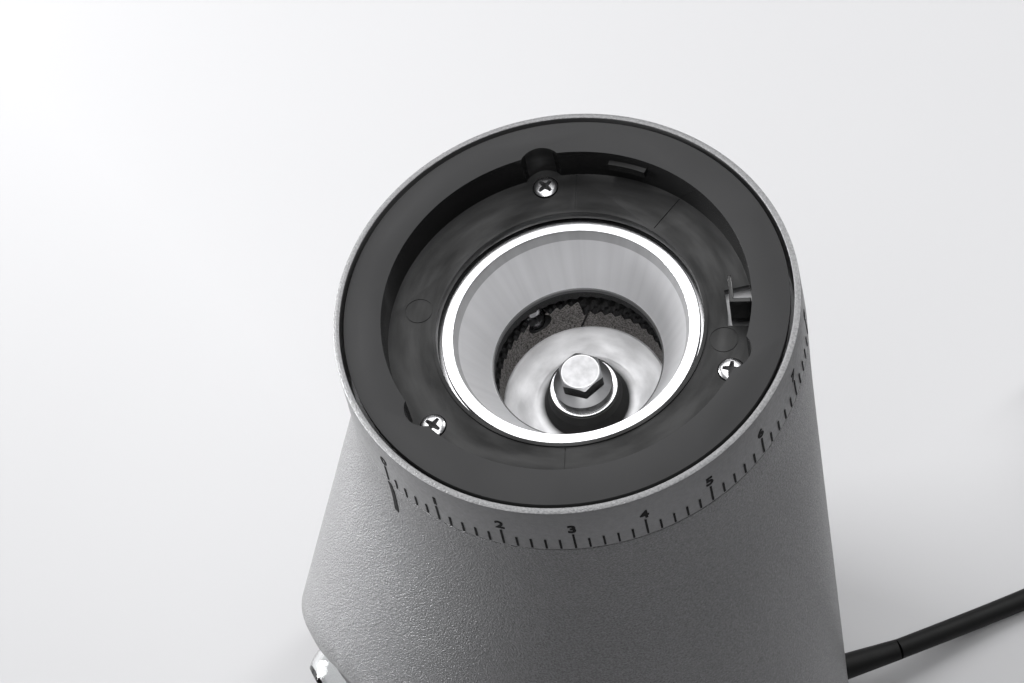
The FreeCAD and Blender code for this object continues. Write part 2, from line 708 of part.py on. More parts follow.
DISC_FOOT = below("Size.disc_foot_depth")
disc_blank = turned("disc_blank", [
    ("Size.disc_radius", below("Size.lower_seat_depth")),
    ("Size.burr_bore - 0.5", below("Size.lower_seat_depth")),
    ("Size.burr_bore - 3", below("Size.lower_seat_depth + 1")),
    ("Size.collar_ring_radius + 2", below("Size.dish_depth")),
    ("Size.hub_radius", below("Size.dish_depth")),
    ("Size.hub_radius", below("Size.hub_shoulder_depth")),
    ("Size.hub_top_radius", below("Size.hub_top_depth")),
    ("Size.bolt_radius + 0.2", below("Size.hub_top_depth")),
    ("Size.bolt_radius + 0.2", below("Size.shaft_top_depth")),
    ("Size.shaft_radius", below("Size.shaft_top_depth")),
    ("Size.shaft_radius", below("Size.hub_foot_depth")),
    ("Size.hub_radius", below("Size.hub_foot_depth")),
    ("Size.hub_radius", DISC_FOOT),
    ("Size.disc_radius", DISC_FOOT),
])
paddles = [box("paddle_%d" % i, "-1.5", "1.5", y_low, y_high, below("51.4"), DISC_FOOT)
           for i, (y_low, y_high) in enumerate((("18", "30"), ("-30", "-18")))]
disc_taps = holes("disc_taps", BURR_SCREWS, "1.65", DISC_FOOT, below("44"))
keep(cut("lower_burr_carrier_solid", fuse("disc_full", [disc_blank] + paddles), disc_taps),
     "lower_burr_carrier")
keep(tube("hub_seal_body", "Size.hub_radius", "Size.collar_ring_radius",
          below("Size.dish_depth"), below("43")), "hub_seal")
WASHER_TOP = below("Size.hub_top_depth - Size.washer_thick")
keep(tube("carrier_washer_body", "Size.bolt_radius + 0.2", "Size.hub_top_radius",
          below("Size.hub_top_depth"), WASHER_TOP), "carrier_washer")
bolt_head = primitive("Prism", "bolt_head_hex", {
    "Circumradius": "Size.bolt_across_flats / sqrt(3)", "Height": "Size.bolt_head"}, z=WASHER_TOP)
bolt_head.Polygon = 6
bolt_shank = cylinder("bolt_shank", "Size.bolt_radius", below("Size.bolt_end_depth"), WASHER_TOP)
keep(fuse("carrier_bolt_solid", [bolt_head, bolt_shank]), "carrier_bolt")
keep(turned("drive_shaft_body", [
    ("Size.bolt_hole", below("Size.shaft_top_depth")),
    ("Size.shaft_radius", below("Size.shaft_top_depth")),
    ("Size.shaft_radius", below("Size.shaft_step_depth")),
    ("Size.shaft_tail_radius", below("Size.shaft_step_depth")),
    ("Size.shaft_tail_radius", below("Size.shaft_end_depth")),
    ("0", below("Size.shaft_end_depth")),
    ("0", below("Size.bolt_end_depth + 1")),
    ("Size.bolt_hole", below("Size.bolt_end_depth + 1")),
]), "drive_shaft")

# ---------------------------------------------------------------- grinding chamber

CHAMBER_FOOT = below("Size.chamber_floor_depth + Size.chamber_floor_thick")
SEAT_TOP = below("Size.upper_bearing_depth")
chamber_blank = turned("chamber_blank", [
    ("Size.chamber_upper_bore", below("Size.chamber_flange_depth")),
    ("Size.chamber_flange_radius", below("Size.chamber_flange_depth")),
    ("Size.chamber_flange_radius", below("Size.ledge_depth")),
    ("Size.chamber_radius", below("Size.ledge_depth")),
    ("Size.chamber_radius", CHAMBER_FOOT),
    ("Size.chamber_hub_radius", CHAMBER_FOOT),
    ("Size.chamber_hub_radius", below("Size.chamber_hub_foot")),
    ("Size.upper_bearing_radius", below("Size.chamber_hub_foot")),
    ("Size.upper_bearing_radius", SEAT_TOP),
    ("Size.shaft_radius + 1.2", SEAT_TOP),
    ("Size.shaft_radius + 1.2", below("Size.chamber_floor_depth")),
    ("Size.chamber_bore", below("Size.chamber_floor_depth")),
    ("Size.chamber_bore", below("Size.shoulder_depth")),
    ("Size.chamber_upper_bore", below("Size.shoulder_depth")),
])
port = box("chamber_port", "-Size.port_half_width", "Size.port_half_width", "-45", "-20",
           below("Size.chamber_floor_depth"), below("40"))
HUB_SCREWS = [around("16", angle) for angle in (30, 150, 270)]
chamber_cuts = fuse("chamber_cuts", [
    port,
    holes("flange_holes", KEEPER_SCREWS, "1.3", below("27"), below("23")),
    holes("pin_holes", GUIDE_PINS, "Size.pin_radius", below("38"), below("29")),
    holes("hub_taps", HUB_SCREWS, "1.25", below("Size.chamber_hub_foot"), below("60")),
])
keep(cut("chamber_housing_solid", chamber_blank, chamber_cuts), "chamber_housing")


def bearing(label, bore, outer, depth, width):
    """Ball bearing as one ring with its shields set in."""
    inner_lip = "%s + Size.race_clear + 1.6" % bore
    outer_lip = "%s - 1.8" % outer
    top = below(depth)
    foot = below("%s + %s" % (depth, width))
    keep(turned(label + "_body", [
        (bore + " + Size.race_clear", top),
        (inner_lip, top),
        (inner_lip, top + " - 0.5"),
        (outer_lip, top + " - 0.5"),
        (outer_lip, top),
        (outer, top),
        (outer, foot),
        (outer_lip, foot),
        (outer_lip, foot + " + 0.5"),
        (inner_lip, foot + " + 0.5"),
        (inner_lip, foot),
        (bore + " + Size.race_clear", foot),
    ]), label)


bearing("upper_bearing", "Size.shaft_radius", "Size.upper_bearing_radius",
        "Size.upper_bearing_depth", "Size.upper_bearing_width")
bearing("lower_bearing", "Size.shaft_tail_radius", "Size.lower_bearing_radius",
        "Size.lower_bearing_depth", "Size.lower_bearing_width")

# ---------------------------------------------------------------- gearbox

FIRST_DISTANCE = 24.0
SECOND_DISTANCE = 28.0
MIDDLE_ANGLE = 150.0
MOTOR_ANGLE = 35.0
middle_x = SECOND_DISTANCE * math.cos(math.radians(MIDDLE_ANGLE))
middle_y = SECOND_DISTANCE * math.sin(math.radians(MIDDLE_ANGLE))
motor_x = middle_x + FIRST_DISTANCE * math.cos(math.radians(MOTOR_ANGLE))
motor_y = middle_y + FIRST_DISTANCE * math.sin(math.radians(MOTOR_ANGLE))
MIDDLE = ("%.4f" % middle_x, "%.4f" % middle_y)
MOTOR = ("%.4f" % motor_x, "%.4f" % motor_y)
LOBES = [(("0", "0"), "22.5"), (MIDDLE, "20.5"), (MOTOR, "20.5")]


def lobed(name, grow, low, high):
    """Outline of the gearbox: three round lobes over the three gear axes."""
    return fuse(name, [cylinder("%s_%d" % (name, i), "%s + %s" % (radius, grow), low, high, x, y)
                       for i, ((x, y), radius) in enumerate(LOBES)])


COVER_UNDER = below("Size.cover_depth + Size.cover_thick")
BOX_FOOT = below("Size.box_foot_depth")
BOX_FLOOR = below("Size.box_foot_depth - Size.box_floor")
BOX_SCREWS = [around("23.4", angle) for angle in (-60, 0, 215)]
cover_cuts = fuse("cover_cuts", [
    cylinder("cover_bore", "Size.shaft_radius + 1", COVER_UNDER, below("Size.cover_depth")),
    cylinder("cover_pin_hole", "Size.middle_pin_radius", COVER_UNDER,
             below("Size.cover_depth"), MIDDLE[0], MIDDLE[1]),
    holes("cover_holes", HUB_SCREWS, "1.35", COVER_UNDER, below("Size.cover_depth")),
    holes("cover_taps", BOX_SCREWS, "1.0", COVER_UNDER, below("Size.cover_depth")),
])
keep(cut("gearbox_cover_solid", lobed("cover_slab", "Size.box_wall", COVER_UNDER,
                                      below("Size.cover_depth")), cover_cuts), "gearbox_cover")
screw_group("hub_screws", HUB_SCREWS, "2.2", COVER_UNDER + " - 1.6", COVER_UNDER, "1.25",
            below("61"))
box_full = fuse("box_full", [
    cut("box_walls", lobed("box_outer", "Size.box_wall", BOX_FOOT, COVER_UNDER),
        lobed("box_inner", "0", BOX_FLOOR, COVER_UNDER)),
    cylinder("box_boss", "Size.lower_bearing_radius + 2.5", BOX_FOOT,
             below("Size.lower_bearing_depth - 1")),
])
MOTOR_SCREWS = []
for angle in (35, 215):
    motor_screw_x = motor_x + 13 * math.cos(math.radians(angle))
    motor_screw_y = motor_y + 13 * math.sin(math.radians(angle))
    MOTOR_SCREWS.append(("%.4f" % motor_screw_x, "%.4f" % motor_screw_y))
box_cuts = fuse("box_cuts", [
    cylinder("box_seat", "Size.lower_bearing_radius",
             below("Size.lower_bearing_depth + Size.lower_bearing_width"),
             below("Size.lower_bearing_depth - 2")),
    cylinder("box_pin_hole", "Size.middle_pin_radius", BOX_FOOT, BOX_FLOOR, MIDDLE[0], MIDDLE[1]),
    cylinder("box_motor_hole", "6", BOX_FOOT, BOX_FLOOR, MOTOR[0], MOTOR[1]),
    cylinder("box_shaft_room", "Size.shaft_tail_radius + 1", BOX_FOOT + " + 1", BOX_FLOOR),
    holes("box_motor_screws", MOTOR_SCREWS, "1.6", BOX_FOOT, BOX_FLOOR),
    holes("box_holes", BOX_SCREWS, "1.0", BOX_FOOT, COVER_UNDER),
])
keep(cut("gearbox_base_solid", box_full, box_cuts), "gearbox_base")
screw_group("gearbox_screws", BOX_SCREWS, "1.9", BOX_FOOT + " - 1.4", BOX_FOOT, "0.95",
            below("Size.cover_depth + 0.5"))
keep(cylinder("middle_pin_solid", "Size.middle_pin_radius", BOX_FOOT,
              below("Size.cover_depth"), MIDDLE[0], MIDDLE[1]), "intermediate_pin")


def gear_face(teeth, module, phase, bore):
    """Face of a spur gear with involute flanks; one tooth points along the angle phase."""
    pressure = math.radians(20)
    pitch = teeth * module / 2
    base = pitch * math.cos(pressure)
    tip = pitch + 0.9 * module
    root = pitch - 1.2 * module
    half_tooth = math.radians(90 / teeth) * 0.9
    spread = math.tan(pressure) - pressure

    def flank(radius):
        turn = math.acos(min(1.0, base / radius))
        return half_tooth + spread - (math.tan(turn) - turn)

    samples = [root] + [max(base, root) + (tip - max(base, root)) * i / 5 for i in range(6)]
    spots = []
    for tooth in range(teeth):
        centre = math.radians(phase) + 2 * math.pi * tooth / teeth
        for side in (-1, 1):
            run = samples if side == -1 else samples[::-1]
            for radius in run:
                angle = centre + side * flank(max(radius, base))
                spots.append(Vector(radius * math.cos(angle), radius * math.sin(angle), 0))
    outline = Part.Face(Part.makePolygon(spots + spots[:1]))
    return outline.cut(Part.Face(Part.Wire(Part.makeCircle(bore))))


def gear_solid(teeth, module, phase, bore, depth):
    """Spur gear whose upper face lies at a depth below the rim."""
    face = gear_face(teeth, module, phase, bore)
    face.translate(Vector(0, 0, size(below(depth + " + Size.gear_width"))))
    return face.extrude(Vector(0, 0, size("Size.gear_width")))


def gear_part(label, shape, place):
    feature = doc.addObject("Part::Feature", label + "_solid")
    feature.Shape = shape
    feature.Placement = Placement(
        Vector(float(place[0]), size("Size.axis_y") + float(place[1]), 0), Rotation())
    return keep(feature, label)


def mesh_phase(angle, teeth, driver_teeth, driver_phase):
    """Phase that puts a gap of this gear where the driver's tooth stands on the centre line."""
    lead_teeth = (angle - driver_phase) / (360 / driver_teeth)
    part = lead_teeth - round(lead_teeth)
    return angle + 180 + (0.5 + part) * 360 / teeth


OUTPUT_TEETH = 38
SMALL_TEETH = 18
LARGE_TEETH = 45
PINION_TEETH = 15
FINE_MODULE = 0.8
middle_bore = size("Size.middle_pin_radius + 0.05")
small_phase = mesh_phase(MIDDLE_ANGLE, SMALL_TEETH, OUTPUT_TEETH, 0)
pinion_phase = mesh_phase(MOTOR_ANGLE, PINION_TEETH, LARGE_TEETH, 0)
gear_part("output_gear", gear_solid(OUTPUT_TEETH, 1.0, 0, size("Size.shaft_radius"),
                                    "Size.upper_gear_depth"), ("0", "0"))
middle_hub = Part.makeCylinder(7, 2, Vector(0, 0, size(below("Size.lower_gear_depth"))))
middle_hub = middle_hub.cut(Part.makeCylinder(
    middle_bore, 2, Vector(0, 0, size(below("Size.lower_gear_depth")))))
middle_gear = gear_solid(SMALL_TEETH, 1.0, small_phase, middle_bore, "Size.upper_gear_depth")
middle_gear = middle_gear.fuse([middle_hub, gear_solid(
    LARGE_TEETH, FINE_MODULE, 0, middle_bore, "Size.lower_gear_depth")])
gear_part("intermediate_gear", middle_gear, MIDDLE)
gear_part("motor_pinion", gear_solid(PINION_TEETH, FINE_MODULE, pinion_phase,
                                     size("Size.motor_shaft_radius"), "Size.lower_gear_depth"),
          MOTOR)

# ---------------------------------------------------------------- motor

CAN_FOOT = below("Size.motor_foot_depth")
can_blank = turned("can_blank", [
    ("5.5", BOX_FOOT),
    ("Size.motor_radius", BOX_FOOT),
    ("Size.motor_radius", CAN_FOOT),
    ("Size.motor_radius - Size.motor_wall", CAN_FOOT),
    ("Size.motor_radius - Size.motor_wall", BOX_FOOT + " - Size.motor_wall"),
    ("5.5", BOX_FOOT + " - Size.motor_wall"),
], MOTOR[0], MOTOR[1])
can_holes = holes("can_holes", MOTOR_SCREWS, "1.5", BOX_FOOT + " - 3", BOX_FOOT)
keep(cut("motor_can_solid", can_blank, can_holes), "motor_can")
screw_group("motor_screws", MOTOR_SCREWS, "2.8", BOX_FLOOR, BOX_FLOOR + " + 1.8", "1.45",
            BOX_FOOT + " - Size.motor_wall")
keep(tube("motor_magnets_body", "17.2", "Size.motor_radius - Size.motor_wall",
          below("160"), below("112"), MOTOR[0], MOTOR[1]), "motor_magnets")
keep(tube("motor_end_cap_body", "5.5", "Size.motor_radius", below("171"), CAN_FOOT,
          MOTOR[0], MOTOR[1]), "motor_end_cap")
keep(group("motor_bushes_group", [
    tube("upper_bush", "Size.motor_shaft_radius + Size.race_clear", "5.5", below("105"),
         BOX_FOOT, MOTOR[0], MOTOR[1]),
    tube("lower_bush", "Size.motor_shaft_radius + Size.race_clear", "5.5", below("171"),
         below("166"), MOTOR[0], MOTOR[1]),
]), "motor_bushes")
keep(cylinder("motor_shaft_solid", "Size.motor_shaft_radius", below("183"), below("81.6"),
              MOTOR[0], MOTOR[1]), "motor_shaft")
keep(tube("motor_armature_body", "Size.motor_shaft_radius", "16.6", below("158"), below("114"),
          MOTOR[0], MOTOR[1]), "motor_armature")
FAN_TOP = below("Size.fan_depth")
FAN_FOOT = below("Size.fan_depth + Size.fan_width")
blades = []
for i in range(9):
    blade = doc.addObject("Part::Box", "fan_blade_%d" % i)
    blade.setExpression("Length", "Size.fan_radius - 6")
    blade.setExpression("Width", "1.2")
    blade.setExpression("Height", "Size.fan_width")
    turn = Rotation(40 * i, 0, 0)
    start = turn.multVec(Vector(5.5, -0.6, 0))
    set_place(blade, "%s + %.4f" % (MOTOR[0], start.x), "%s + %.4f" % (MOTOR[1], start.y),
              FAN_FOOT, turn)
    blades.append(blade)
fan_plate = tube("fan_plate", "Size.motor_shaft_radius", "Size.fan_radius", FAN_TOP + " - 1.5",
                 FAN_TOP, MOTOR[0], MOTOR[1])
fan_hub = tube("fan_hub", "Size.motor_shaft_radius", "6.5", FAN_FOOT, FAN_TOP,
               MOTOR[0], MOTOR[1])
keep(fuse("motor_fan_solid", [fan_plate, fan_hub] + blades), "motor_fan")

# ---------------------------------------------------------------- grounds chute

chute_block = box("chute_block", "-Size.chute_half_width", "Size.chute_half_width",
                  "-Size.chute_front", "-Size.chute_back", "Size.chute_foot",
                  below("Size.chute_top_depth"))
chute_duct = box("chute_duct", "-Size.chute_half_width + Size.chute_wall",
                 "Size.chute_half_width - Size.chute_wall", "-Size.chute_front + Size.chute_wall",
                 "-41.5", "Size.chute_foot", below("Size.chute_top_depth + Size.chute_wall"))
chute_inlet = box("chute_inlet", "-Size.port_half_width", "Size.port_half_width",
                  "-Size.chute_front + Size.chute_wall", "-20",
                  below("Size.chamber_floor_depth"), below("40"))
chute_seat = cylinder("chute_seat", "Size.chamber_radius", "Size.chute_foot",
                      below("Size.chute_top_depth"))
keep(cut("grounds_chute_solid", chute_block,
         fuse("chute_cuts", [chute_duct, chute_inlet, chute_seat])), "grounds_chute")

# ---------------------------------------------------------------- power button and electrics

INWARDS = Rotation(Vector(0, 0, 1), Vector(0, 1, 0))


def facing(name, radius, front, back):
    """Cylinder along Y at the button's height, between two distances in front of the axis."""
    sizes = {"Radius": radius, "Height": "(%s) - (%s)" % (front, back)}
    return primitive("Cylinder", name, sizes, "0", "-(%s)" % front, "Size.button_height", INWARDS)


PANEL_FACE = "Size.front_reach - Size.panel_setback"
bezel_rim = facing("bezel_rim", "Size.button_radius + 2.6", PANEL_FACE + " + 1", PANEL_FACE)
bezel_sleeve = facing("bezel_sleeve", "Size.button_radius + 1.3", PANEL_FACE, PANEL_FACE + " - 5")
bezel_bore = facing("bezel_bore", "Size.button_radius + 0.3", PANEL_FACE + " + 2",
                    PANEL_FACE + " - 6")
keep(cut("button_bezel_solid", fuse("bezel_full", [bezel_rim, bezel_sleeve]), bezel_bore),
     "button_bezel")
button_cap = facing("button_cap", "Size.button_radius", PANEL_FACE + " + 2.2",
                    PANEL_FACE + " - 4")
button_stem = facing("button_stem", "2.5", PANEL_FACE + " - 4", PANEL_FACE + " - 8")
keep(fuse("power_button_solid", [button_cap, button_stem]), "power_button")
SWITCH_FRONT = PANEL_FACE + " - 8 - Size.button_travel - Size.run_gap"
keep(box("power_switch_solid", "-7", "7", "-(%s)" % SWITCH_FRONT, "-(%s) + 11" % SWITCH_FRONT,
         "Size.button_height - 8", "Size.button_height + 8"), "power_switch")
keep(box("control_board_solid", "34", "35.6", "-14", "36", "30", "92"), "control_board")
keep(group("board_parts_group", [
    cylinder("capacitor", "6", "36", "62", "41.6", "-2"),
    box("relay", "35.6", "49", "12", "28", "62", "80"),
    box("transformer", "35.6", "52", "8", "30", "34", "56"),
]), "board_parts")
keep(box("terminal_block_solid", "-12", "8", "38", "48", "Size.plate_high", "18"),
     "terminal_block")

# ---------------------------------------------------------------- cord, gland and plug

gland_points = [
    ("Size.cord_radius", "0"),
    ("4.6", "0"),
    ("4.6", "7"),
    ("5.0", "7"),
    ("5.0", "8.8"),
    ("4.6", "8.8"),
    ("4.6", "12.15"),
    ("6.0", "12.15"),
    ("6.0", "13.5"),
    ("4.1", "13.5"),
    ("Size.cord_radius + 0.4", "12 + Size.boot_length"),
    ("Size.cord_radius", "12 + Size.boot_length"),
]
gland = turned("cord_gland_body", gland_points)
gland.Placement = Placement(Vector(0, 0, 0), gland_turn)
GLAND_NORMAL = gland_turn.multVec(Vector(0, 0, 1))
set_place(gland, "%s - 12 * %.5f" % (gland_x, GLAND_NORMAL.x),
          "%s - 12 * %.5f" % (gland_y, GLAND_NORMAL.y), "Size.gland_height")
keep(gland, "cord_gland")

# Route of the cord from the boot's end to the coil, from the grinding axis, as x, y, height.
boot_end = Vector(float(gland_x), float(gland_y), size("Size.gland_height"))
boot_end = boot_end + GLAND_NORMAL * size("Size.boot_length")
ROUTE = [
    boot_end,
    Vector(49.2, 82.0, 7.0),
    Vector(54.6, 102.0, 3.5),
    Vector(61.8, 125.0, 3.3),
    Vector(71.0, 150.0, 3.3),
    Vector(82.0, 181.5, 3.3),
]


def cord_path(points):
    """Straight runs joined by tangent arcs, each as large as its runs allow."""
    edges = []
    start = points[0]
    radii = []
    for before, corner, after in zip(points, points[1:], points[2:]):
        into = (corner - before).normalize()
        out = (after - corner).normalize()
        turn = into.getAngle(out)
        reach = 0.45 * min((corner - before).Length, (after - corner).Length)
        radius = reach / math.tan(turn / 2)
        radii.append(radius)
        first = corner - into * reach
        last = corner + out * reach
        inward = (out - into).normalize()
        middle = corner + inward * (radius / math.cos(turn / 2) - radius)
        edges.append(Part.LineSegment(start, first).toShape())
        edges.append(Part.Arc(first, middle, last).toShape())
        start = last
    edges.append(Part.LineSegment(start, points[-1]).toShape())
    return Part.Wire(edges), radii


path, cord_radii = cord_path(ROUTE)
section = Part.Wire(Part.makeCircle(size("Size.cord_radius"), ROUTE[0], ROUTE[1] - ROUTE[0]))
cord_shape = path.makePipeShell([section], True, False, 2)
cord = doc.addObject("Part::Feature", "power_cord_solid")
cord.Shape = cord_shape
cord.Placement = Placement(Vector(0, size("Size.axis_y"), 0), Rotation())
keep(cord, "power_cord")

heading = (ROUTE[-1] - ROUTE[-2]).normalize()
turn_radius = size("Size.coil_outer - Size.cord_radius")
coil_x = ROUTE[-1].x - heading.y * turn_radius
coil_y = ROUTE[-1].y + heading.x * turn_radius
COIL = ("%.4f" % coil_x, "%.4f" % coil_y)
keep(tube("cord_coil_body", "Size.coil_inner", "Size.coil_outer", "0.1",
          "0.1 + Size.coil_height", COIL[0], COIL[1]), "cord_coil")
tie_room = tube("tie_room", "Size.coil_inner", "Size.coil_outer", "0.1",
                "0.1 + Size.coil_height", COIL[0], COIL[1])
tie_ring = tube("tie_ring", "Size.coil_inner - 1.2", "Size.coil_outer + 1.2", "0.1",
                "1.3 + Size.coil_height", COIL[0], COIL[1])
TIE_ANGLE = 200.0
tie_bar = primitive("Box", "tie_bar", {"Length": "30", "Width": "5", "Height": "20"},
                    "%s + 20 * cos(%s deg)" % (COIL[0], TIE_ANGLE),
                    "%s + 20 * sin(%s deg)" % (COIL[1], TIE_ANGLE), "0",
                    Rotation(TIE_ANGLE, 0, 0))
keep(cut("cord_tie_solid", common("tie_strap", tie_ring, tie_bar), tie_room), "cord_tie")

# The plug lies flat beside the coil, its lead leaving the coil on a tangent.
LEAVE_ANGLE = math.radians(80.0)
plug_heading = Vector(-math.sin(LEAVE_ANGLE), math.cos(LEAVE_ANGLE), 0)
leave = Vector(coil_x, coil_y, 0)
leave = leave + Vector(math.cos(LEAVE_ANGLE), math.sin(LEAVE_ANGLE), 0) * turn_radius
plug_start = leave + plug_heading * 22.0
PLUG_Z = 7.0
plug_turn = Rotation(Vector(0, 0, 1), plug_heading)


def along_plug(thing, distance, side=0.0):
    """Move an object to a distance along the plug and to its side."""
    across = Vector(-plug_heading.y, plug_heading.x, 0)
    spot = plug_start + plug_heading * distance + across * side
    return set_place(thing, "%.4f" % spot.x, "%.4f" % spot.y, "%s" % PLUG_Z, None)


BOOT = 14.0
PLUG_LENGTH = 32.0
PLUG_HALF_WIDTH = 17.6
PLUG_THICK = 13.0
PIN_SPACING = 19.0
boot = doc.addObject("Part::Cone", "plug_boot")
boot.Radius1 = size("Size.cord_radius + 0.5")
boot.Radius2 = 5.2
boot.Height = BOOT
boot.Placement = Placement(Vector(0, 0, 0), plug_turn)
along_plug(boot, 0)
across = Vector(-plug_heading.y, plug_heading.x, 0)
outline = []
for distance, half in ((BOOT, 7.0), (BOOT + 9.0, PLUG_HALF_WIDTH),
                       (BOOT + PLUG_LENGTH, PLUG_HALF_WIDTH - 2.5)):
    outline.append(plug_start + plug_heading * distance + across * half)
for distance, half in ((BOOT + PLUG_LENGTH, PLUG_HALF_WIDTH - 2.5),
                       (BOOT + 9.0, PLUG_HALF_WIDTH), (BOOT, 7.0)):
    outline.append(plug_start + plug_heading * distance - across * half)
plug_face = Part.Face(Part.makePolygon(outline + outline[:1]))
plug_face.translate(Vector(0, 0, PLUG_Z - PLUG_THICK / 2))
plug_block = doc.addObject("Part::Feature", "plug_block")
plug_block.Shape = plug_face.extrude(Vector(0, 0, PLUG_THICK))
plug_block.Placement = Placement(Vector(0, size("Size.axis_y"), 0), Rotation())
pins = []
for i, side in enumerate((-PIN_SPACING / 2, PIN_SPACING / 2)):
    pin = doc.addObject("Part::Cylinder", "plug_pin_%d" % i)
    pin.Radius = 2.0
    pin.Height = PIN_SPACING
    pin.Placement = Placement(Vector(0, 0, 0), plug_turn)
    pins.append(along_plug(pin, BOOT + PLUG_LENGTH, side))
keep(fuse("plug_body_solid", [boot, plug_block]), "plug_body")
keep(group("plug_pins_group", pins), "plug_pins")

# ---------------------------------------------------------------- check and write

doc.recompute()
problems = [thing.Name for thing in doc.Objects
            if "Invalid" in thing.State or "Error" in thing.State]
for label, thing in nodes.items():
    shape = thing.Shape
    if shape.isNull() or not shape.isValid() or not shape.Solids:
        problems.append(label)
if problems:
    raise RuntimeError("failed objects: " + ", ".join(problems))

print("cord radii: " + ", ".join("%.0f" % radius for radius in cord_radii))
tube_volume = math.pi * size("Size.cord_radius") ** 2 * path.Length
print("cord tube %.1f mm long, volume %.0f against %.0f" % (
    path.Length, cord.Shape.Volume, tube_volume))
os.makedirs("parts", exist_ok=True)
for label, thing in nodes.items():
    thing.Shape.exportStep("parts/%s.step" % label)
print("%d sub-parts" % len(nodes))
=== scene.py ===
import json
import math

import bmesh
import bpy
from mathutils import Matrix, Quaternion, Vector

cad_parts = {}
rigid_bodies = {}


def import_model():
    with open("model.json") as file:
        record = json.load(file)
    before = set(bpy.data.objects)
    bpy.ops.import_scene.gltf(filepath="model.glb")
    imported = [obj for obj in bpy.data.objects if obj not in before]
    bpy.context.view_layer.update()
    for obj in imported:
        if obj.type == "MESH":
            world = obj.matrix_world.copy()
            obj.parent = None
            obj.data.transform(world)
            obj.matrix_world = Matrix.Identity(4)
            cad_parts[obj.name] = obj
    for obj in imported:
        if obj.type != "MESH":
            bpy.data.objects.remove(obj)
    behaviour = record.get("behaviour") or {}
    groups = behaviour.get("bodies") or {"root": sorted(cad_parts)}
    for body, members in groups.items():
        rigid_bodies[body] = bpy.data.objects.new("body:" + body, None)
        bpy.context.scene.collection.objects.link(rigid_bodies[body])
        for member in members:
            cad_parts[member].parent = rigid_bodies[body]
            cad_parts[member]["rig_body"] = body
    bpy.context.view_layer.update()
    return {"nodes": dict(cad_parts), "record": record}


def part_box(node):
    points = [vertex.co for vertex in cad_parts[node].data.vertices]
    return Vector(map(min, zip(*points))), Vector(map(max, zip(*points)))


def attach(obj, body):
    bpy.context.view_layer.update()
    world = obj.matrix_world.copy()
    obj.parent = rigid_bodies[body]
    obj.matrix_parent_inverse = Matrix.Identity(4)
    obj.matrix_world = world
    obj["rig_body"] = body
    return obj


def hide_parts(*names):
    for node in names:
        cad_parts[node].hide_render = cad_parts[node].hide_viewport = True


# Looks of the burr coffee grinder. Lengths are in millimetres unless a comment says metres, and
# are measured from the grinder's axis: AXIS takes heights above the table, and DEPTHS takes
# depths below the rim of the scale ring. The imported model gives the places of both.

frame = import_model()

MM = 0.001
ring_low, ring_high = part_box("scale_ring")
AXIS_Y = (ring_low.y + ring_high.y) / 2
RIM_Z = ring_high.z
AXIS = Matrix.Translation((0, AXIS_Y, 0)) @ Matrix.Scale(MM, 4)
DEPTHS = Matrix.Translation((0, AXIS_Y, RIM_Z)) @ Matrix.Diagonal((MM, MM, -MM, 1))
BODY_OF = {node: piece["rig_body"] for node, piece in frame["nodes"].items()}
SLOT_OF = {part["node"]: part["material_slot"] for part in frame["record"]["subparts"]}


# ---------------------------------------------------------------- camera, lights and floor

def direction(azimuth, elevation):
    """Unit vector from the object; azimuth 0 is its front and 90 its right-hand side."""
    a = math.radians(azimuth)
    e = math.radians(elevation)
    return Vector((math.sin(a) * math.cos(e), -math.cos(a) * math.cos(e), math.sin(e)))


def add_camera():
    """Camera looking steeply down on the open top, from the right; its lengths are metres."""
    azimuth, elevation, roll = 64.683, 57.645, 15.763
    distance = 0.5331
    target = Vector((-0.00027, AXIS_Y - 0.01545, RIM_Z))
    back = direction(azimuth, elevation)
    data = bpy.data.cameras.new("camera")
    data.lens = 80.86
    data.sensor_width = 36
    data.clip_start = 0.02
    camera = bpy.data.objects.new("camera", data)
    bpy.context.scene.collection.objects.link(camera)
    level = (-back).to_track_quat("-Z", "Y")
    camera.rotation_mode = "QUATERNION"
    camera.rotation_quaternion = Quaternion(-back, math.radians(roll)) @ level
    camera.location = target + back * distance
    bpy.context.scene.camera = camera


def softbox(name, azimuth, elevation, distance, width, height, power):
    """Rectangular light facing the upper part of the body; sizes in metres, power in watts."""
    aim = Vector((0, AXIS_Y, RIM_Z * 0.7))
    data = bpy.data.lights.new(name, "AREA")
    data.shape = "RECTANGLE"
    data.size = width
    data.size_y = height
    data.energy = power
    lamp = bpy.data.objects.new(name, data)
    towards = direction(azimuth, elevation)
    lamp.location = aim + towards * distance
    lamp.rotation_mode = "QUATERNION"
    lamp.rotation_quaternion = (-towards).to_track_quat("-Z", "Y")
    bpy.context.scene.collection.objects.link(lamp)


def add_lights():
    softbox("overhead", -115, 58, 1.6, 1.5, 1.2, 11.5)
    softbox("key", -52, 10, 1.3, 0.7, 0.6, 34)
    softbox("edge", 180, 22, 1.2, 0.25, 0.9, 7)
    softbox("top", 62, 78, 1.3, 0.9, 0.9, 8)
    world = bpy.data.worlds.new("studio")
    world.use_nodes = True
    background = world.node_tree.nodes["Background"]
    background.inputs["Color"].default_value = (0.93, 0.94, 0.96, 1)
    background.inputs["Strength"].default_value = 0.1
    bpy.context.scene.world = world
    bpy.context.scene.view_settings.view_transform = "Standard"


def add_floor(material):
    """Table top that reaches 3 metres each way."""
    reach = 3.0
    mesh = bpy.data.meshes.new("floor")
    corners = [(-reach, -reach, 0), (reach, -reach, 0), (reach, reach, 0), (-reach, reach, 0)]
    mesh.from_pydata(corners, [], [(0, 1, 2, 3)])
    mesh.materials.append(material)
    floor = bpy.data.objects.new("floor", mesh)
    bpy.context.scene.collection.objects.link(floor)


# ---------------------------------------------------------------- materials

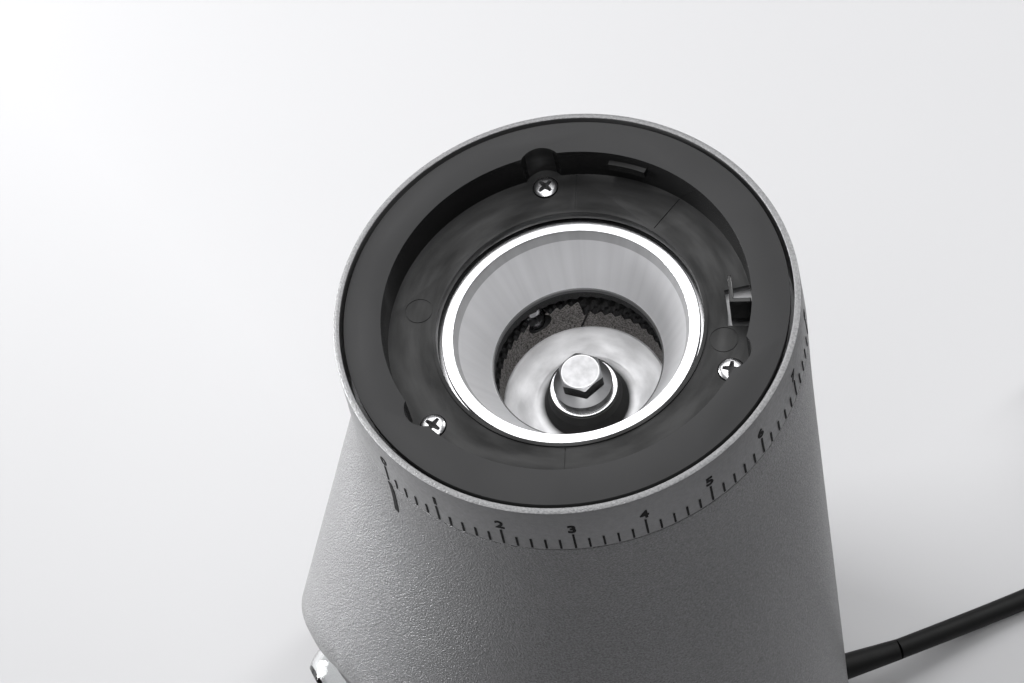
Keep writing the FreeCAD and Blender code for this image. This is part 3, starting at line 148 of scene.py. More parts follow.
def add(tree, kind, sockets=None, **settings):
    """Add a shader node; a socket's value is a number, a colour or another node's output."""
    made = tree.nodes.new("ShaderNode" + kind)
    for name, value in settings.items():
        setattr(made, name, value)
    for name, value in (sockets or {}).items():
        if isinstance(value, bpy.types.NodeSocket):
            tree.links.new(value, made.inputs[name])
        else:
            made.inputs[name].default_value = value
    return made


def straight(tree):
    return add(tree, "TexCoord").outputs["Object"]


def around_axis(turns, rings):
    """Coordinates that run round the burr axis: turns cells a radian, rings cells a metre."""
    def place(tree):
        moved = add(tree, "VectorMath", {0: straight(tree), 1: (0, -AXIS_Y, 0)}, operation="ADD")
        flat = add(tree, "VectorMath", {0: moved.outputs[0], 1: (1, 1, 0)}, operation="MULTIPLY")
        unit = add(tree, "VectorMath", {0: flat.outputs[0]}, operation="NORMALIZE")
        wide = add(tree, "VectorMath", {0: unit.outputs[0], 1: (turns, turns, 0)},
                   operation="MULTIPLY")
        radius = add(tree, "VectorMath", {0: flat.outputs[0]}, operation="LENGTH")
        height = add(tree, "SeparateXYZ", {0: moved.outputs[0]})
        total = add(tree, "Math", {0: radius.outputs["Value"], 1: height.outputs["Z"]},
                    operation="ADD")
        scaled = add(tree, "Math", {0: total.outputs[0], 1: rings}, operation="MULTIPLY")
        upright = add(tree, "CombineXYZ", {"Z": scaled.outputs[0]})
        return add(tree, "VectorMath", {0: wide.outputs[0], 1: upright.outputs[0]},
                   operation="ADD").outputs[0]
    return place


def dusted(tree, colour, clean, dark):
    """Colour that fades to near black between two distances from the axis, in millimetres; it stands
    for coffee dust and painted shade round the hub.
    """
    moved = add(tree, "VectorMath", {0: straight(tree), 1: (0, -AXIS_Y, 0)}, operation="ADD")
    flat = add(tree, "VectorMath", {0: moved.outputs[0], 1: (1, 1, 0)}, operation="MULTIPLY")
    radius = add(tree, "VectorMath", {0: flat.outputs[0]}, operation="LENGTH")
    share = add(tree, "MapRange", {
        "Value": radius.outputs["Value"], "From Min": dark * MM, "From Max": clean * MM,
        "To Min": 0.05, "To Max": 1.0}, interpolation_type="SMOOTHSTEP")
    return add(tree, "VectorMath", {0: colour, 1: share.outputs["Result"]},
               operation="MULTIPLY").outputs[0]


def faded(tree, colour, start, end, low):
    """Painted shade: colour that darkens to the share low towards the front, between start and end in
    metres.
    """
    y = add(tree, "SeparateXYZ", {0: straight(tree)}).outputs["Y"]
    share = add(tree, "MapRange", {"Value": y, "From Min": start, "From Max": end,
                                   "To Min": 1.0, "To Max": low})
    return add(tree, "VectorMath", {0: colour, 1: share.outputs["Result"]},
               operation="MULTIPLY").outputs[0]


MOTTLE_LOW, MOTTLE_HIGH = 0.3, 0.7


def surface(name, color, roughness, metallic=0.0, spread=0.12, mottle=40.0, grain=1500.0,
            relief=0.02, rough_spread=0.06, place=straight, grain_place=straight, radial=False,
            dust_and_shade_radii=None, front_shade=None, **constants):
    """Finish with a mottled colour and roughness, and a fine grain that is relief deep."""
    material = bpy.data.materials.new(name)
    material.use_nodes = True
    tree = material.node_tree
    shader = tree.nodes["Principled BSDF"]
    shader.inputs["Metallic"].default_value = metallic
    for socket, value in constants.items():
        shader.inputs[socket.replace("_", " ")].default_value = value
    patches = add(tree, "TexNoise", {"Vector": place(tree), "Scale": mottle, "Detail": 4.0})
    ramp = add(tree, "ValToRGB", {"Fac": patches.outputs["Fac"]})
    stops = ((MOTTLE_LOW, -spread), (MOTTLE_HIGH, spread))
    for element, (stop, share) in zip(ramp.color_ramp.elements, stops):
        element.position = stop
        element.color = [min(part * (1 + share), 1) for part in color] + [1]
    colour = ramp.outputs["Color"]
    # coffee dust and painted shade: the colour darkens towards the axis
    if dust_and_shade_radii:
        colour = dusted(tree, colour, *dust_and_shade_radii)
    # painted shade: the colour darkens towards the front
    if front_shade:
        colour = faded(tree, colour, *front_shade)
    tree.links.new(colour, shader.inputs["Base Color"])
    rough = add(tree, "MapRange", {
        "Value": patches.outputs["Fac"], "From Min": MOTTLE_LOW, "From Max": MOTTLE_HIGH,
        "To Min": roughness + rough_spread, "To Max": roughness - rough_spread})
    tree.links.new(rough.outputs["Result"], shader.inputs["Roughness"])
    fine = add(tree, "TexNoise", {"Vector": grain_place(tree), "Scale": grain, "Detail": 2.0})
    bump = add(tree, "Bump", {"Height": fine.outputs["Fac"], "Strength": 1.0,
                              "Distance": relief * MM})
    tree.links.new(bump.outputs["Normal"], shader.inputs["Normal"])
    if radial:
        tangent = add(tree, "Tangent", direction_type="RADIAL", axis="Z")
        tree.links.new(tangent.outputs["Tangent"], shader.inputs["Tangent"])
    return material


def grey(value):
    return (value, value, value * 1.02)


TURNED = around_axis(0.6, 4000.0)
SPUN = around_axis(1.5, 900.0)
STREAKS = around_axis(9.0, 12.0)
SWIRLS = around_axis(2.2, 260.0)

FINISHES = {
    # The floor is painted darker towards the front as painted shade.
    "floor": surface("floor_sweep", grey(0.56), 0.8, spread=0.012, mottle=3.0, grain=300.0,
                     relief=0.01, front_shade=(0.0, -0.3, 0.6)),
    "powder_coat": surface("powder_coat", grey(0.19), 0.36, metallic=0.55, spread=0.3,
                           mottle=2100.0, grain=2300.0, relief=0.42),
    "ring_coat": surface("ring_coat", grey(0.17), 0.36, metallic=0.5, spread=0.04,
                         mottle=900.0, grain=2200.0, relief=0.05),
    # rim_coat is lighter than ring_coat; on the scale ring's rim it is a painted highlight.
    "rim_coat": surface("rim_coat", grey(0.3), 0.5, metallic=0.4, spread=0.2,
                        mottle=1800.0, grain=2400.0, relief=0.2),
    "mark_ink": surface("mark_ink", grey(0.006), 0.6, spread=0.3, mottle=900.0, grain=3000.0,
                        relief=0.01, Specular_IOR_Level=0.1),
    "collar_satin": surface("collar_satin", grey(0.052), 0.75, spread=0.02, mottle=60.0,
                            grain=2600.0, relief=0.004, Specular_IOR_Level=0.12),
    "collar_floor": surface("collar_floor", grey(0.019), 0.44, spread=0.6, mottle=1.0,
                            grain=1.0, relief=0.03, rough_spread=0.16, place=SWIRLS,
                            grain_place=SPUN, Specular_IOR_Level=0.35),
    "black_moulding": surface("black_moulding", grey(0.03), 0.45, spread=0.15, mottle=120.0,
                              grain=1800.0, relief=0.015),
    "gloss_moulding": surface("gloss_moulding", grey(0.012), 0.16, spread=0.2, mottle=90.0,
                              grain=500.0, relief=0.006),
    "funnel_cone": surface("funnel_cone", grey(0.86), 0.46, metallic=0.4, spread=0.05,
                           mottle=1.0, grain=1.0, relief=0.008, place=STREAKS,
                           grain_place=TURNED, radial=True, Anisotropic=0.6),
    "bright_aluminium": surface("bright_aluminium", grey(0.93), 0.24, metallic=1.0,
                                spread=0.03, mottle=1.0, grain=1.0, relief=0.006,
                                place=TURNED, grain_place=TURNED),
    # The spun disc darkens near the hub: coffee dust and painted shade round the hub seal.
    "spun_disc": surface("spun_disc", grey(0.66), 0.42, metallic=0.75, spread=0.16,
                         mottle=1.0, grain=1.0, relief=0.015, place=SWIRLS,
                         grain_place=TURNED, radial=True, dust_and_shade_radii=(12.4, 10.2),
                         Anisotropic=0.4),
    "washer_steel": surface("washer_steel", grey(0.36), 0.4, metallic=0.9, spread=0.06,
                            mottle=1.0, grain=1.0, relief=0.008, place=SWIRLS,
                            grain_place=TURNED, radial=True, Anisotropic=0.5),
    # painted shade: a darker copy of the funnel metal for its steep step
    "shaded_funnel_step": surface("shaded_funnel_step", grey(0.55), 0.46, metallic=0.4, spread=0.08,
                           mottle=1.0, grain=1.0, relief=0.008, place=STREAKS,
                           grain_place=TURNED),
    "milled_steel": surface("milled_steel", grey(0.6), 0.5, metallic=0.8, spread=0.12,
                            mottle=500.0, grain=2000.0, relief=0.02),
    "cast_metal": surface("cast_metal", grey(0.42), 0.5, metallic=0.9, spread=0.1,
                          mottle=120.0, grain=1400.0, relief=0.05),
    "burr_steel": surface("burr_steel", (0.25, 0.235, 0.225), 0.6, metallic=0.2,
                          spread=0.95, mottle=2200.0, grain=2600.0, relief=0.12),
    "burr_shade": surface("burr_shade", grey(0.03), 0.6, metallic=0.3, spread=0.4,
                          mottle=2600.0, grain=2600.0, relief=0.1),
    "lip_shade": surface("lip_shade", grey(0.2), 0.45, metallic=0.7, spread=0.06,
                         mottle=1.0, grain=1.0, relief=0.006, place=TURNED,
                         grain_place=TURNED),
    "bright_steel": surface("bright_steel", grey(0.74), 0.3, metallic=1.0, spread=0.06,
                            mottle=400.0, grain=2500.0, relief=0.01),
    # dark_recess is painted shade: near black put on faces that lie in shade, such as recesses,
    # undersides and flanks.
    "dark_recess": surface("dark_recess", grey(0.05), 0.5, metallic=0.8, spread=0.3,
                           mottle=900.0, grain=3000.0, relief=0.02),
    "spring_steel": surface("spring_steel", grey(0.4), 0.3, metallic=1.0, mottle=600.0),
    "gear_nylon": surface("gear_nylon", (0.78, 0.76, 0.7), 0.42, spread=0.04, mottle=90.0,
                          grain=1600.0, Subsurface_Weight=0.08),
    "brass": surface("brass", (0.7, 0.5, 0.2), 0.28, metallic=1.0, mottle=200.0),
    "motor_iron": surface("motor_iron", (0.34, 0.35, 0.37), 0.35, metallic=1.0,
                          spread=0.15, mottle=90.0, grain=900.0, relief=0.02),
    "magnet": surface("magnet", grey(0.05), 0.6, metallic=0.4, mottle=900.0, relief=0.05),
    "circuit_board": surface("circuit_board", (0.03, 0.13, 0.05), 0.32, spread=0.4,
                             mottle=500.0, grain=900.0, relief=0.03),
    "clear_plastic": surface("clear_plastic", (0.97, 0.98, 0.98), 0.06, spread=0.01,
                             mottle=60.0, grain=220.0, relief=0.004, rough_spread=0.02,
                             Transmission_Weight=1.0, IOR=1.49),
    "rubber": surface("rubber", grey(0.018), 0.55, spread=0.2, mottle=150.0, grain=1500.0,
                      relief=0.02),
    "cord_jacket": surface("cord_jacket", grey(0.006), 0.55, spread=0.2, mottle=120.0,
                           grain=1200.0, relief=0.02, Specular_IOR_Level=0.25),
}


def repaint(node):
    """Give a carried-over CAD node the finish of its slot."""
    for slot in frame["nodes"][node].material_slots:
        slot.material = FINISHES[SLOT_OF[node]]


# ---------------------------------------------------------------- mesh helpers

def mesh_of(bm, name):
    """Mesh of closed shapes, their doubled points merged and their faces turned outwards."""
    bmesh.ops.remove_doubles(bm, verts=bm.verts, dist=1e-6)
    bmesh.ops.recalc_face_normals(bm, faces=bm.faces)
    mesh = bpy.data.meshes.new(name)
    bm.to_mesh(mesh)
    bm.free()
    return mesh


def piece_from(name, shape, node, finish, stands_for=()):
    """Object on the body of a CAD node, with the given finishes; it stands for the named nodes."""
    mesh = mesh_of(shape, name) if isinstance(shape, bmesh.types.BMesh) else shape
    mesh.name = name
    finishes = [finish] if isinstance(finish, str) else finish
    for each in finishes:
        mesh.materials.append(FINISHES[each])
    mesh.shade_smooth()
    mesh.set_sharp_from_angle(angle=math.radians(32))
    piece = bpy.data.objects.new(name, mesh)
    bpy.context.scene.collection.objects.link(piece)
    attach(piece, BODY_OF[node])
    if stands_for:
        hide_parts(*stands_for)
    return piece


def rounded(outline, steps=4):
    """Points of a closed outline of (radius, height, corner radius), corners made into arcs."""
    made = []
    for i, (radius, height, corner) in enumerate(outline):
        here = Vector((radius, height))
        if not corner:
            made.append(here)
            continue
        into = (here - Vector(outline[i - 1][:2])).normalized()
        out = (Vector(outline[(i + 1) % len(outline)][:2]) - here).normalized()
        turn = into.angle_signed(out)
        reach = corner * math.tan(abs(turn) / 2)
        start = here - into * reach
        centre = here + (out - into).normalized() * (corner / math.cos(turn / 2))
        for k in range(steps + 1):
            swing = Matrix.Rotation(-turn * k / steps, 2)
            made.append(centre + swing @ (start - centre))
    return made


def lathe(bm, outline, place, segments=160, steps=4, painted=None):
    """Turn a closed outline about the Z axis of place; painted(radius, height) picks a finish."""
    points = rounded(outline, steps)
    on_axis = 1e-6
    rings = []
    for k in range(segments):
        angle = 2 * math.pi * k / segments
        rings.append([bm.verts.new(place @ Vector((p.x * math.cos(angle),
                                                   p.x * math.sin(angle), p.y)))
                      for p in points])
    for k, ring in enumerate(rings):
        after = rings[(k + 1) % segments]
        for i in range(len(points)):
            j = (i + 1) % len(points)
            if points[i].x < on_axis and points[j].x < on_axis:
                continue
            face = bm.faces.new((ring[i], ring[j], after[j], after[i]))
            if painted:
                middle = (points[i] + points[j]) / 2
                face.material_index = painted(middle.x, middle.y)
    return bm


def applied(mesh, kind, **settings):
    """Mesh after a modifier of this kind."""
    holder = bpy.data.objects.new("holder", mesh)
    bpy.context.scene.collection.objects.link(holder)
    modifier = holder.modifiers.new(kind.lower(), kind)
    for name, value in settings.items():
        setattr(modifier, name, value)
    evaluated = holder.evaluated_get(bpy.context.evaluated_depsgraph_get())
    made = bpy.data.meshes.new_from_object(evaluated)
    bpy.data.objects.remove(holder)
    return made


def bevelled(mesh, width, segments=3):
    return applied(mesh, "BEVEL", width=width * MM, segments=segments, limit_method="ANGLE",
                   angle_limit=math.radians(30), use_clamp_overlap=True)


def carved(mesh, cutter_bm):
    """Mesh with the closed solids of cutter_bm cut out of it."""
    cutter = bpy.data.objects.new("cutter", mesh_of(cutter_bm, "cutter"))
    bpy.context.scene.collection.objects.link(cutter)
    made = applied(mesh, "BOOLEAN", object=cutter, operation="DIFFERENCE", solver="EXACT")
    bpy.data.objects.remove(cutter)
    return made


def bare_copy(node):
    """Clean copy of a CAD node's mesh, its flat faces merged."""
    bm = bmesh.new()
    bm.from_mesh(frame["nodes"][node].data)
    bmesh.ops.remove_doubles(bm, verts=bm.verts, dist=2e-6)
    bmesh.ops.dissolve_limit(bm, angle_limit=math.radians(0.6), verts=bm.verts, edges=bm.edges)
    mesh = bpy.data.meshes.new(node + "_copy")
    bm.to_mesh(mesh)
    bm.free()
    for name in ("custom_normal", "sharp_face", "sharp_edge"):
        if name in mesh.attributes:
            mesh.attributes.remove(mesh.attributes[name])
    return mesh


def softened(node, name, width, finish=None, segments=3):
    """The CAD node's own shape with its edges rounded."""
    mesh = bevelled(bare_copy(node), width, segments)
    return piece_from(name, mesh, node, finish or SLOT_OF[node], [node])


def block(bm, place, x, y, z):
    """Box between the pairs of limits x, y and z."""
    corners = [bm.verts.new(place @ Vector((i, j, k))) for i in x for j in y for k in z]
    for a, b, c, d in ((0, 1, 3, 2), (4, 6, 7, 5), (0, 4, 5, 1), (2, 3, 7, 6), (0, 2, 6, 4),
                       (1, 5, 7, 3)):
        bm.faces.new((corners[a], corners[b], corners[c], corners[d]))


def polar(radius, angle):
    """Point at a radius and an angle in degrees from the X axis."""
    a = math.radians(angle)
    return Vector((radius * math.cos(a), radius * math.sin(a), 0))


# ---------------------------------------------------------------- mains lead

CORD_RADIUS = 3.2
GLAND = Vector((36.4, 44.8, 11.0))
GLAND_HEADING = Vector((0.3891, 0.9212, 0.0))
BOOT_LENGTH = 20.0
ROUTE = [
    GLAND + GLAND_HEADING * BOOT_LENGTH,
    Vector((49.2, 82.0, 7.0)),
    Vector((54.6, 102.0, 3.5)),
    Vector((61.8, 125.0, 3.3)),
    Vector((71.0, 150.0, 3.3)),
    Vector((82.0, 181.5, 3.3)),
]
COIL_OUTER_TURN = 41.4
COIL_TURNS = 4
LEAVE_ANGLE = 80.0
PLUG_GAP = 22.0
PLUG_Z = 7.0


def coil_centre():
    heading = (ROUTE[-1] - ROUTE[-2]).normalized()
    return Vector((ROUTE[-1].x - heading.y * COIL_OUTER_TURN,
                   ROUTE[-1].y + heading.x * COIL_OUTER_TURN, 0))


def smooth_step(value):
    value = min(max(value, 0.0), 1.0)
    return value * value * (3 - 2 * value)


def coil_points():
    """Two flat spirals, one on the other: inwards below, outwards above."""
    step = 15.0
    crossover = 70.0
    # The curve runs a little inside its points, so they are set wider than the turn.
    swell = 1 / math.cos(math.radians(step / 2))
    low = CORD_RADIUS + 0.1
    layer = 2 * CORD_RADIUS
    start = coil_centre()
    entry = math.degrees(math.atan2(ROUTE[-1].y - start.y, ROUTE[-1].x - start.x))
    total = LEAVE_ANGLE + COIL_TURNS * 360 - entry
    inward_end = total / 2
    points = []
    for i in range(1, int(total / step)):
        turned = i * step
        inward = COIL_OUTER_TURN - layer * min(turned, inward_end) / 360
        radius = inward + layer * max(turned - inward_end, 0) / 360
        height = low + layer * smooth_step((turned - inward_end) / crossover + 0.5)
        points.append(start + polar(radius * swell, entry + turned) + Vector((0, 0, height)))
    return points, low + layer


def plug_frame():
    """Matrix whose Z axis runs along the plug, from the point where the cord enters it."""
    leave = coil_centre() + polar(COIL_OUTER_TURN, LEAVE_ANGLE)
    heading = polar(1, LEAVE_ANGLE + 90)
    side = Vector((0, 0, 1)).cross(heading)
    start = leave + heading * PLUG_GAP + Vector((0, 0, PLUG_Z))
    turn = Matrix((side, Vector((0, 0, 1)), heading)).transposed().to_4x4()
    return leave, heading, Matrix.Translation(start) @ turn


def add_cord():
    """The lead along its route, round its coil and up to the plug; returns the plug's place too."""
    turns, top = coil_points()
    leave, heading, plug = plug_frame()
    tail = [leave + Vector((0, 0, top)),
            leave + heading * 8.0 + Vector((0, 0, top)),
            leave + heading * 15.0 + Vector((0, 0, top - 1.0)),
            leave + heading * PLUG_GAP + Vector((0, 0, PLUG_Z))]
    points = ROUTE + turns + tail
    curve = bpy.data.curves.new("mains_lead", "CURVE")
    curve.dimensions = "3D"
    curve.bevel_depth = CORD_RADIUS * MM
    curve.bevel_resolution = 6
    curve.resolution_u = 6
    curve.use_fill_caps = True
    spline = curve.splines.new("NURBS")
    spline.points.add(len(points) - 1)
    for slot, point in zip(spline.points, points):
        slot.co = (AXIS @ point).to_4d()
    spline.order_u = 3
    spline.use_endpoint_u = True
    curve.materials.append(FINISHES["cord_jacket"])
    lead = bpy.data.objects.new("mains_lead", curve)
    bpy.context.scene.collection.objects.link(lead)
    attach(lead, "housing")
    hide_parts("power_cord", "cord_coil")
    return lead, plug


def add_boot():
    """Smooth tapered strain relief, moulded on the gland."""
    inside = 12.0
    tip = inside + BOOT_LENGTH
    turn = Vector((0, 0, 1)).rotation_difference(GLAND_HEADING).to_matrix().to_4x4()
    place = AXIS @ Matrix.Translation(GLAND - GLAND_HEADING * inside) @ turn
    outline = [(CORD_RADIUS + 0.02, 0.0, 0), (4.6, 0.0, 0.3), (4.6, 7.0, 0), (5.0, 7.0, 0.2),
               (5.0, 8.8, 0.2), (4.6, 8.8, 0), (4.6, 12.15, 0), (6.0, 12.15, 0.3),
               (6.0, 13.5, 0.5), (4.1, 13.5, 0.2), (CORD_RADIUS + 0.05, tip, 0),
               (CORD_RADIUS + 0.02, tip, 0)]
    bm = lathe(bmesh.new(), outline, place, segments=48, steps=3)
    return piece_from("cord_boot", bm, "cord_gland", "cord_jacket", ["cord_gland"])


# ---------------------------------------------------------------- plug and tie

def add_plug(place):
    """Round-nosed plug body with a ribbed boot: (distance from the cord, half width, half height)."""
    stations = [(0.0, 3.75, 3.75), (1.0, 4.1, 4.1), (3.0, 3.95, 3.95), (4.0, 4.35, 4.35),
                (6.0, 4.2, 4.2), (7.0, 4.7, 4.7), (9.5, 4.55, 4.55), (10.5, 5.1, 5.1),
                (13.0, 5.1, 5.1), (14.5, 7.2, 5.7), (18.0, 13.0, 6.25), (22.0, 16.6, 6.4),
                (25.0, 17.3, 6.4), (28.0, 16.9, 6.3), (34.0, 15.2, 6.2), (44.5, 15.0, 6.35),
                (45.7, 14.7, 6.1), (46.0, 14.0, 5.4)]
    count = 48
    bm = bmesh.new()
    rings = []
    for distance, wide, thick in stations:
        ring = []
        squareness = 2.0 + 2.0 * smooth_step((distance - 13.0) / 9.0)
        for k in range(count):
            unit = polar(1, 360 * k / count)
            x = math.copysign(abs(unit.x) ** (2 / squareness), unit.x) * wide
            y = math.copysign(abs(unit.y) ** (2 / squareness), unit.y) * thick
            ring.append(bm.verts.new(AXIS @ place @ Vector((x, y, distance))))
        rings.append(ring)
    for low, high in zip(rings, rings[1:]):
        for k in range(count):
            bm.faces.new((low[k], low[(k + 1) % count], high[(k + 1) % count], high[k]))
    bm.faces.new(rings[0])
    bm.faces.new(rings[-1])
    return piece_from("plug_moulding", bm, "plug_body", "rubber", ["plug_body"])


def add_pins(place):
    """Two bright pins, each with a dark sleeve on its first part."""
    sleeve = 9.1
    bm = bmesh.new()
    for side in (-9.5, 9.5):
        spot = AXIS @ place @ Matrix.Translation((side, 0, 46.0))
        outline = [(0.0, 0.0, 0), (2.0, 0.0, 0), (2.0, 9.0, 0.1), (1.93, 9.2, 0.1),
                   (1.93, 19.0, 0.9), (0.0, 19.0, 0)]
        lathe(bm, outline, spot, segments=32, painted=lambda radius, height: int(height < sleeve))
    return piece_from("contact_pins", bm, "plug_pins", ["bright_steel", "rubber"], ["plug_pins"])


add_camera()
add_lights()
add_floor(FINISHES["floor"])
lead, plug_place = add_cord()
boot = add_boot()
plug = add_plug(plug_place)
pins = add_pins(plug_place)
tie = softened("cord_tie", "hook_strap", 0.35)


# ---------------------------------------------------------------- scale ring

RING_TOP = 55.0
RING_FOOT = 55.9
RING_DEPTH = 16.2
LAST_NUMBER = 8
SCALE_SWEEP = 137.3


def ring_radius(depth):
    return RING_TOP + (RING_FOOT - RING_TOP) * depth / RING_DEPTH


def add_scale_ring():
    """Coated ring whose rim is painted lighter, a painted highlight on its top face."""
    highlight_depth = 0.3
    outline = [(53.5, 0.0, 0.2), (54.2, 0.0, 0.3), (RING_TOP, 0.25, 0.35),
               (RING_FOOT, RING_DEPTH, 0.25), (53.5, RING_DEPTH, 0)]
    # the rim takes the lighter rim_coat as a painted highlight
    bm = lathe(bmesh.new(), outline, DEPTHS, segments=256,
               painted=lambda radius, depth: int(depth < highlight_depth))
    piece_from("scale_collar", bm, "scale_ring", ["ring_coat", "rim_coat"], ["scale_ring"])


def add_numerals():
    """Numbers 0 to 8 above the long marks, wrapped on the ring."""
    tall, wide, foot_depth = 3.1, 2.2, 8.7
    widest = 1.1
    face, root = 0.09, -0.05
    bm = bmesh.new()
    for number in range(LAST_NUMBER + 1):
        curve = bpy.data.curves.new("numeral", "FONT")
        curve.body = str(number)
        curve.extrude = 0.05
        curve.offset = 0.03
        curve.resolution_u = 6
        holder = bpy.data.objects.new("numeral", curve)
        bpy.context.scene.collection.objects.link(holder)
        evaluated = holder.evaluated_get(bpy.context.evaluated_depsgraph_get())
        mesh = bpy.data.meshes.new_from_object(evaluated)
        bpy.data.objects.remove(holder)
        xs = [v.co.x for v in mesh.vertices]
        ys = [v.co.y for v in mesh.vertices]
        shrink = min(wide / (max(xs) - min(xs)), tall / (max(ys) - min(ys)) * widest)
        for v in mesh.vertices:
            across = (v.co.x - (max(xs) + min(xs)) / 2) * shrink
            up = (v.co.y - min(ys)) / (max(ys) - min(ys)) * tall
            depth = foot_depth - up
            radius = ring_radius(depth) + (face if v.co.z > 0 else root)
            angle = -90 + number * SCALE_SWEEP / LAST_NUMBER + math.degrees(across / radius)
            spot = polar(radius, angle) + Vector((0, 0, depth))
            v.co = DEPTHS @ spot
        bm.from_mesh(mesh)
        bpy.data.meshes.remove(mesh)
    piece_from("scale_numerals", bm, "scale_marks", "mark_ink")


def add_index_line():
    """Painted line on the body that the scale is read against, wider than the CAD mark."""
    widening = 1.7
    mesh = bare_copy("index_mark")
    for v in mesh.vertices:
        v.co.x *= widening
    piece_from("index_line", mesh, "index_mark", "mark_ink", ["index_mark"])


add_scale_ring()
add_numerals()
add_index_line()


# ---------------------------------------------------------------- hopper collar

FLOOR_DEPTH = 10.0


def add_collar():
    """The collar with rounded edges, gate marks and fine joint lines in its floor."""
    gate_angles, gate_radius = (-140, 40), 37.0
    joint_angles, joint_width = (138, 102, -41), 0.24
    flange_depth, well_inner, well_outer, skirt = 0.9, 33.5, 44.5, 51.5
    mesh = bevelled(bare_copy("hopper_collar"), 0.3)
    cutters = bmesh.new()
    for angle in gate_angles:
        spot = DEPTHS @ Matrix.Translation(polar(gate_radius, angle))
        outline = [(3.2, FLOOR_DEPTH - 1, 0), (3.42, FLOOR_DEPTH - 1, 0),
                   (3.42, FLOOR_DEPTH + 0.18, 0), (3.2, FLOOR_DEPTH + 0.18, 0)]
        lathe(cutters, outline, spot, segments=64)
    for angle in joint_angles:
        turn = Matrix.Rotation(math.radians(angle), 4, "Z")
        block(cutters, DEPTHS @ turn, (33.2, 43.4), (-joint_width / 2, joint_width / 2),
              (FLOOR_DEPTH - 1, FLOOR_DEPTH + 0.3))
    piece = piece_from("hopper_seat_collar", carved(mesh, cutters), "hopper_collar",
                       ["collar_floor", "collar_satin", "gloss_moulding"], ["hopper_collar"])
    for face in piece.data.polygons:
        radius = math.hypot(face.center.x, face.center.y - AXIS_Y) / MM
        on_flange = face.center.z > RIM_Z - flange_depth * MM
        if abs(face.normal.z) < 0.95 and well_inner < radius < well_outer:
            face.material_index = 2
        elif on_flange or radius > skirt:
            face.material_index = 1
        else:
            face.material_index = 0


def cross_cutter(place, top, foot):
    """Cutter with four arms, between two depths."""
    arm = [(2.05, 0.38), (0.62, 0.62), (0.38, 2.05)]
    bm = bmesh.new()
    rims = []
    for depth in (top, foot):
        rim = []
        for quarter in range(4):
            spin = place @ Matrix.Rotation(math.radians(90 * quarter), 4, "Z")
            rim += [bm.verts.new(spin @ Vector((x, y, depth))) for x, y in arm]
        bm.faces.new(rim)
        rims.append(rim)
    high, low = rims
    for k in range(len(low)):
        j = (k + 1) % len(low)
        bm.faces.new((low[k], low[j], high[j], high[k]))
    return bm


def add_collar_screws():
    """Three domed heads, each with a cross recess, and their shanks."""
    head_low, head_high = 11.2, 9.2
    recess, dark_from = 1.4, 0.9
    screws = bmesh.new()
    for angle, turn in ((-91.2, 12), (28.8, 40), (148.8, 5)):
        place = DEPTHS @ Matrix.Translation(polar(40.7, angle))
        place = place @ Matrix.Rotation(math.radians(turn), 4, "Z")
        outline = [(0.0, head_high, 0), (1.4, head_high + 0.02, 0), (2.3, head_high + 0.1, 0),
                   (2.95, head_high + 0.5, 0.2), (2.95, head_low, 0), (1.5, head_low, 0),
                   (1.5, 16.0, 0.3), (0.0, 16.0, 0)]
        blank = mesh_of(lathe(bmesh.new(), outline, place, segments=48), "blank")
        cutter = cross_cutter(place, head_high - 1.2, head_high + recess)
        screws.from_mesh(carved(blank, cutter))
    piece = piece_from("collar_screw_set", screws, "collar_screws",
                       ["bright_steel", "dark_recess"], ["collar_screws"])
    for face in piece.data.polygons:
        # painted shade: faces deeper than dark_from below the head's top, in the recess, under the
        # head and on the shank, are near black
        face.material_index = int(face.center.z < RIM_Z - (head_high + dark_from) * MM)


add_collar()
add_collar_screws()
softened("hopper_latch", "hopper_catch", 0.25, "gloss_moulding")


# ---------------------------------------------------------------- funnel and burrs

BURR_BORE = 20.8
BURR_LAND = 25.5
BURR_EDGE = 29.0
BURR_SCREWS = (52, 172, 292)
SCREW_CIRCLE = 24.6
POCKET = 3.3
POCKET_FLOOR = 4.4
RAMPS = 3
RAMP_END = 140.0
HEX_TURN = -32.0


def add_funnel():
    """Upper burr carrier: bright flat rim, bevelled step painted darker as shade, machined cone and a
    lipped throat painted dark as shade.
    """
    outline = [(28.3, 11.9, 0.15), (31.0, 11.9, 0.2), (31.0, 13.0, 0.1), (35.5, 13.0, 0.4),
               (35.5, 24.5, 0.3), (30.0, 24.5, 0.2), (30.0, 28.2, 0.2), (20.65, 28.2, 0.3),
               (20.65, 27.0, 0.25), (21.1, 26.7, 0.2), (27.4, 14.7, 0.1), (28.2, 12.7, 0.1)]
    rim_foot, step_foot, cone_foot = 12.1, 14.8, 26.8

    def painted(radius, depth):
        if depth < rim_foot or radius > 29:
            return 0
        # painted shade: the steep step below the rim is darker (index 3), the throat lip darker still
        # (index 2)
        if depth < step_foot:
            return 3
        return 1 if depth < cone_foot else 2

    bm = lathe(bmesh.new(), outline, DEPTHS, segments=256, painted=painted)
    piece_from("grinding_funnel", bm, "upper_burr_carrier",
               ["bright_aluminium", "funnel_cone", "lip_shade", "shaded_funnel_step"],
               ["upper_burr_carrier"])


def saw(turns, rise=0.82):
    """Sawtooth from 0 to 1: it climbs over the share rise of each tooth and then drops."""
    part = turns % 1.0
    return part / rise if part < rise else (1.0 - part) / (1.0 - rise)


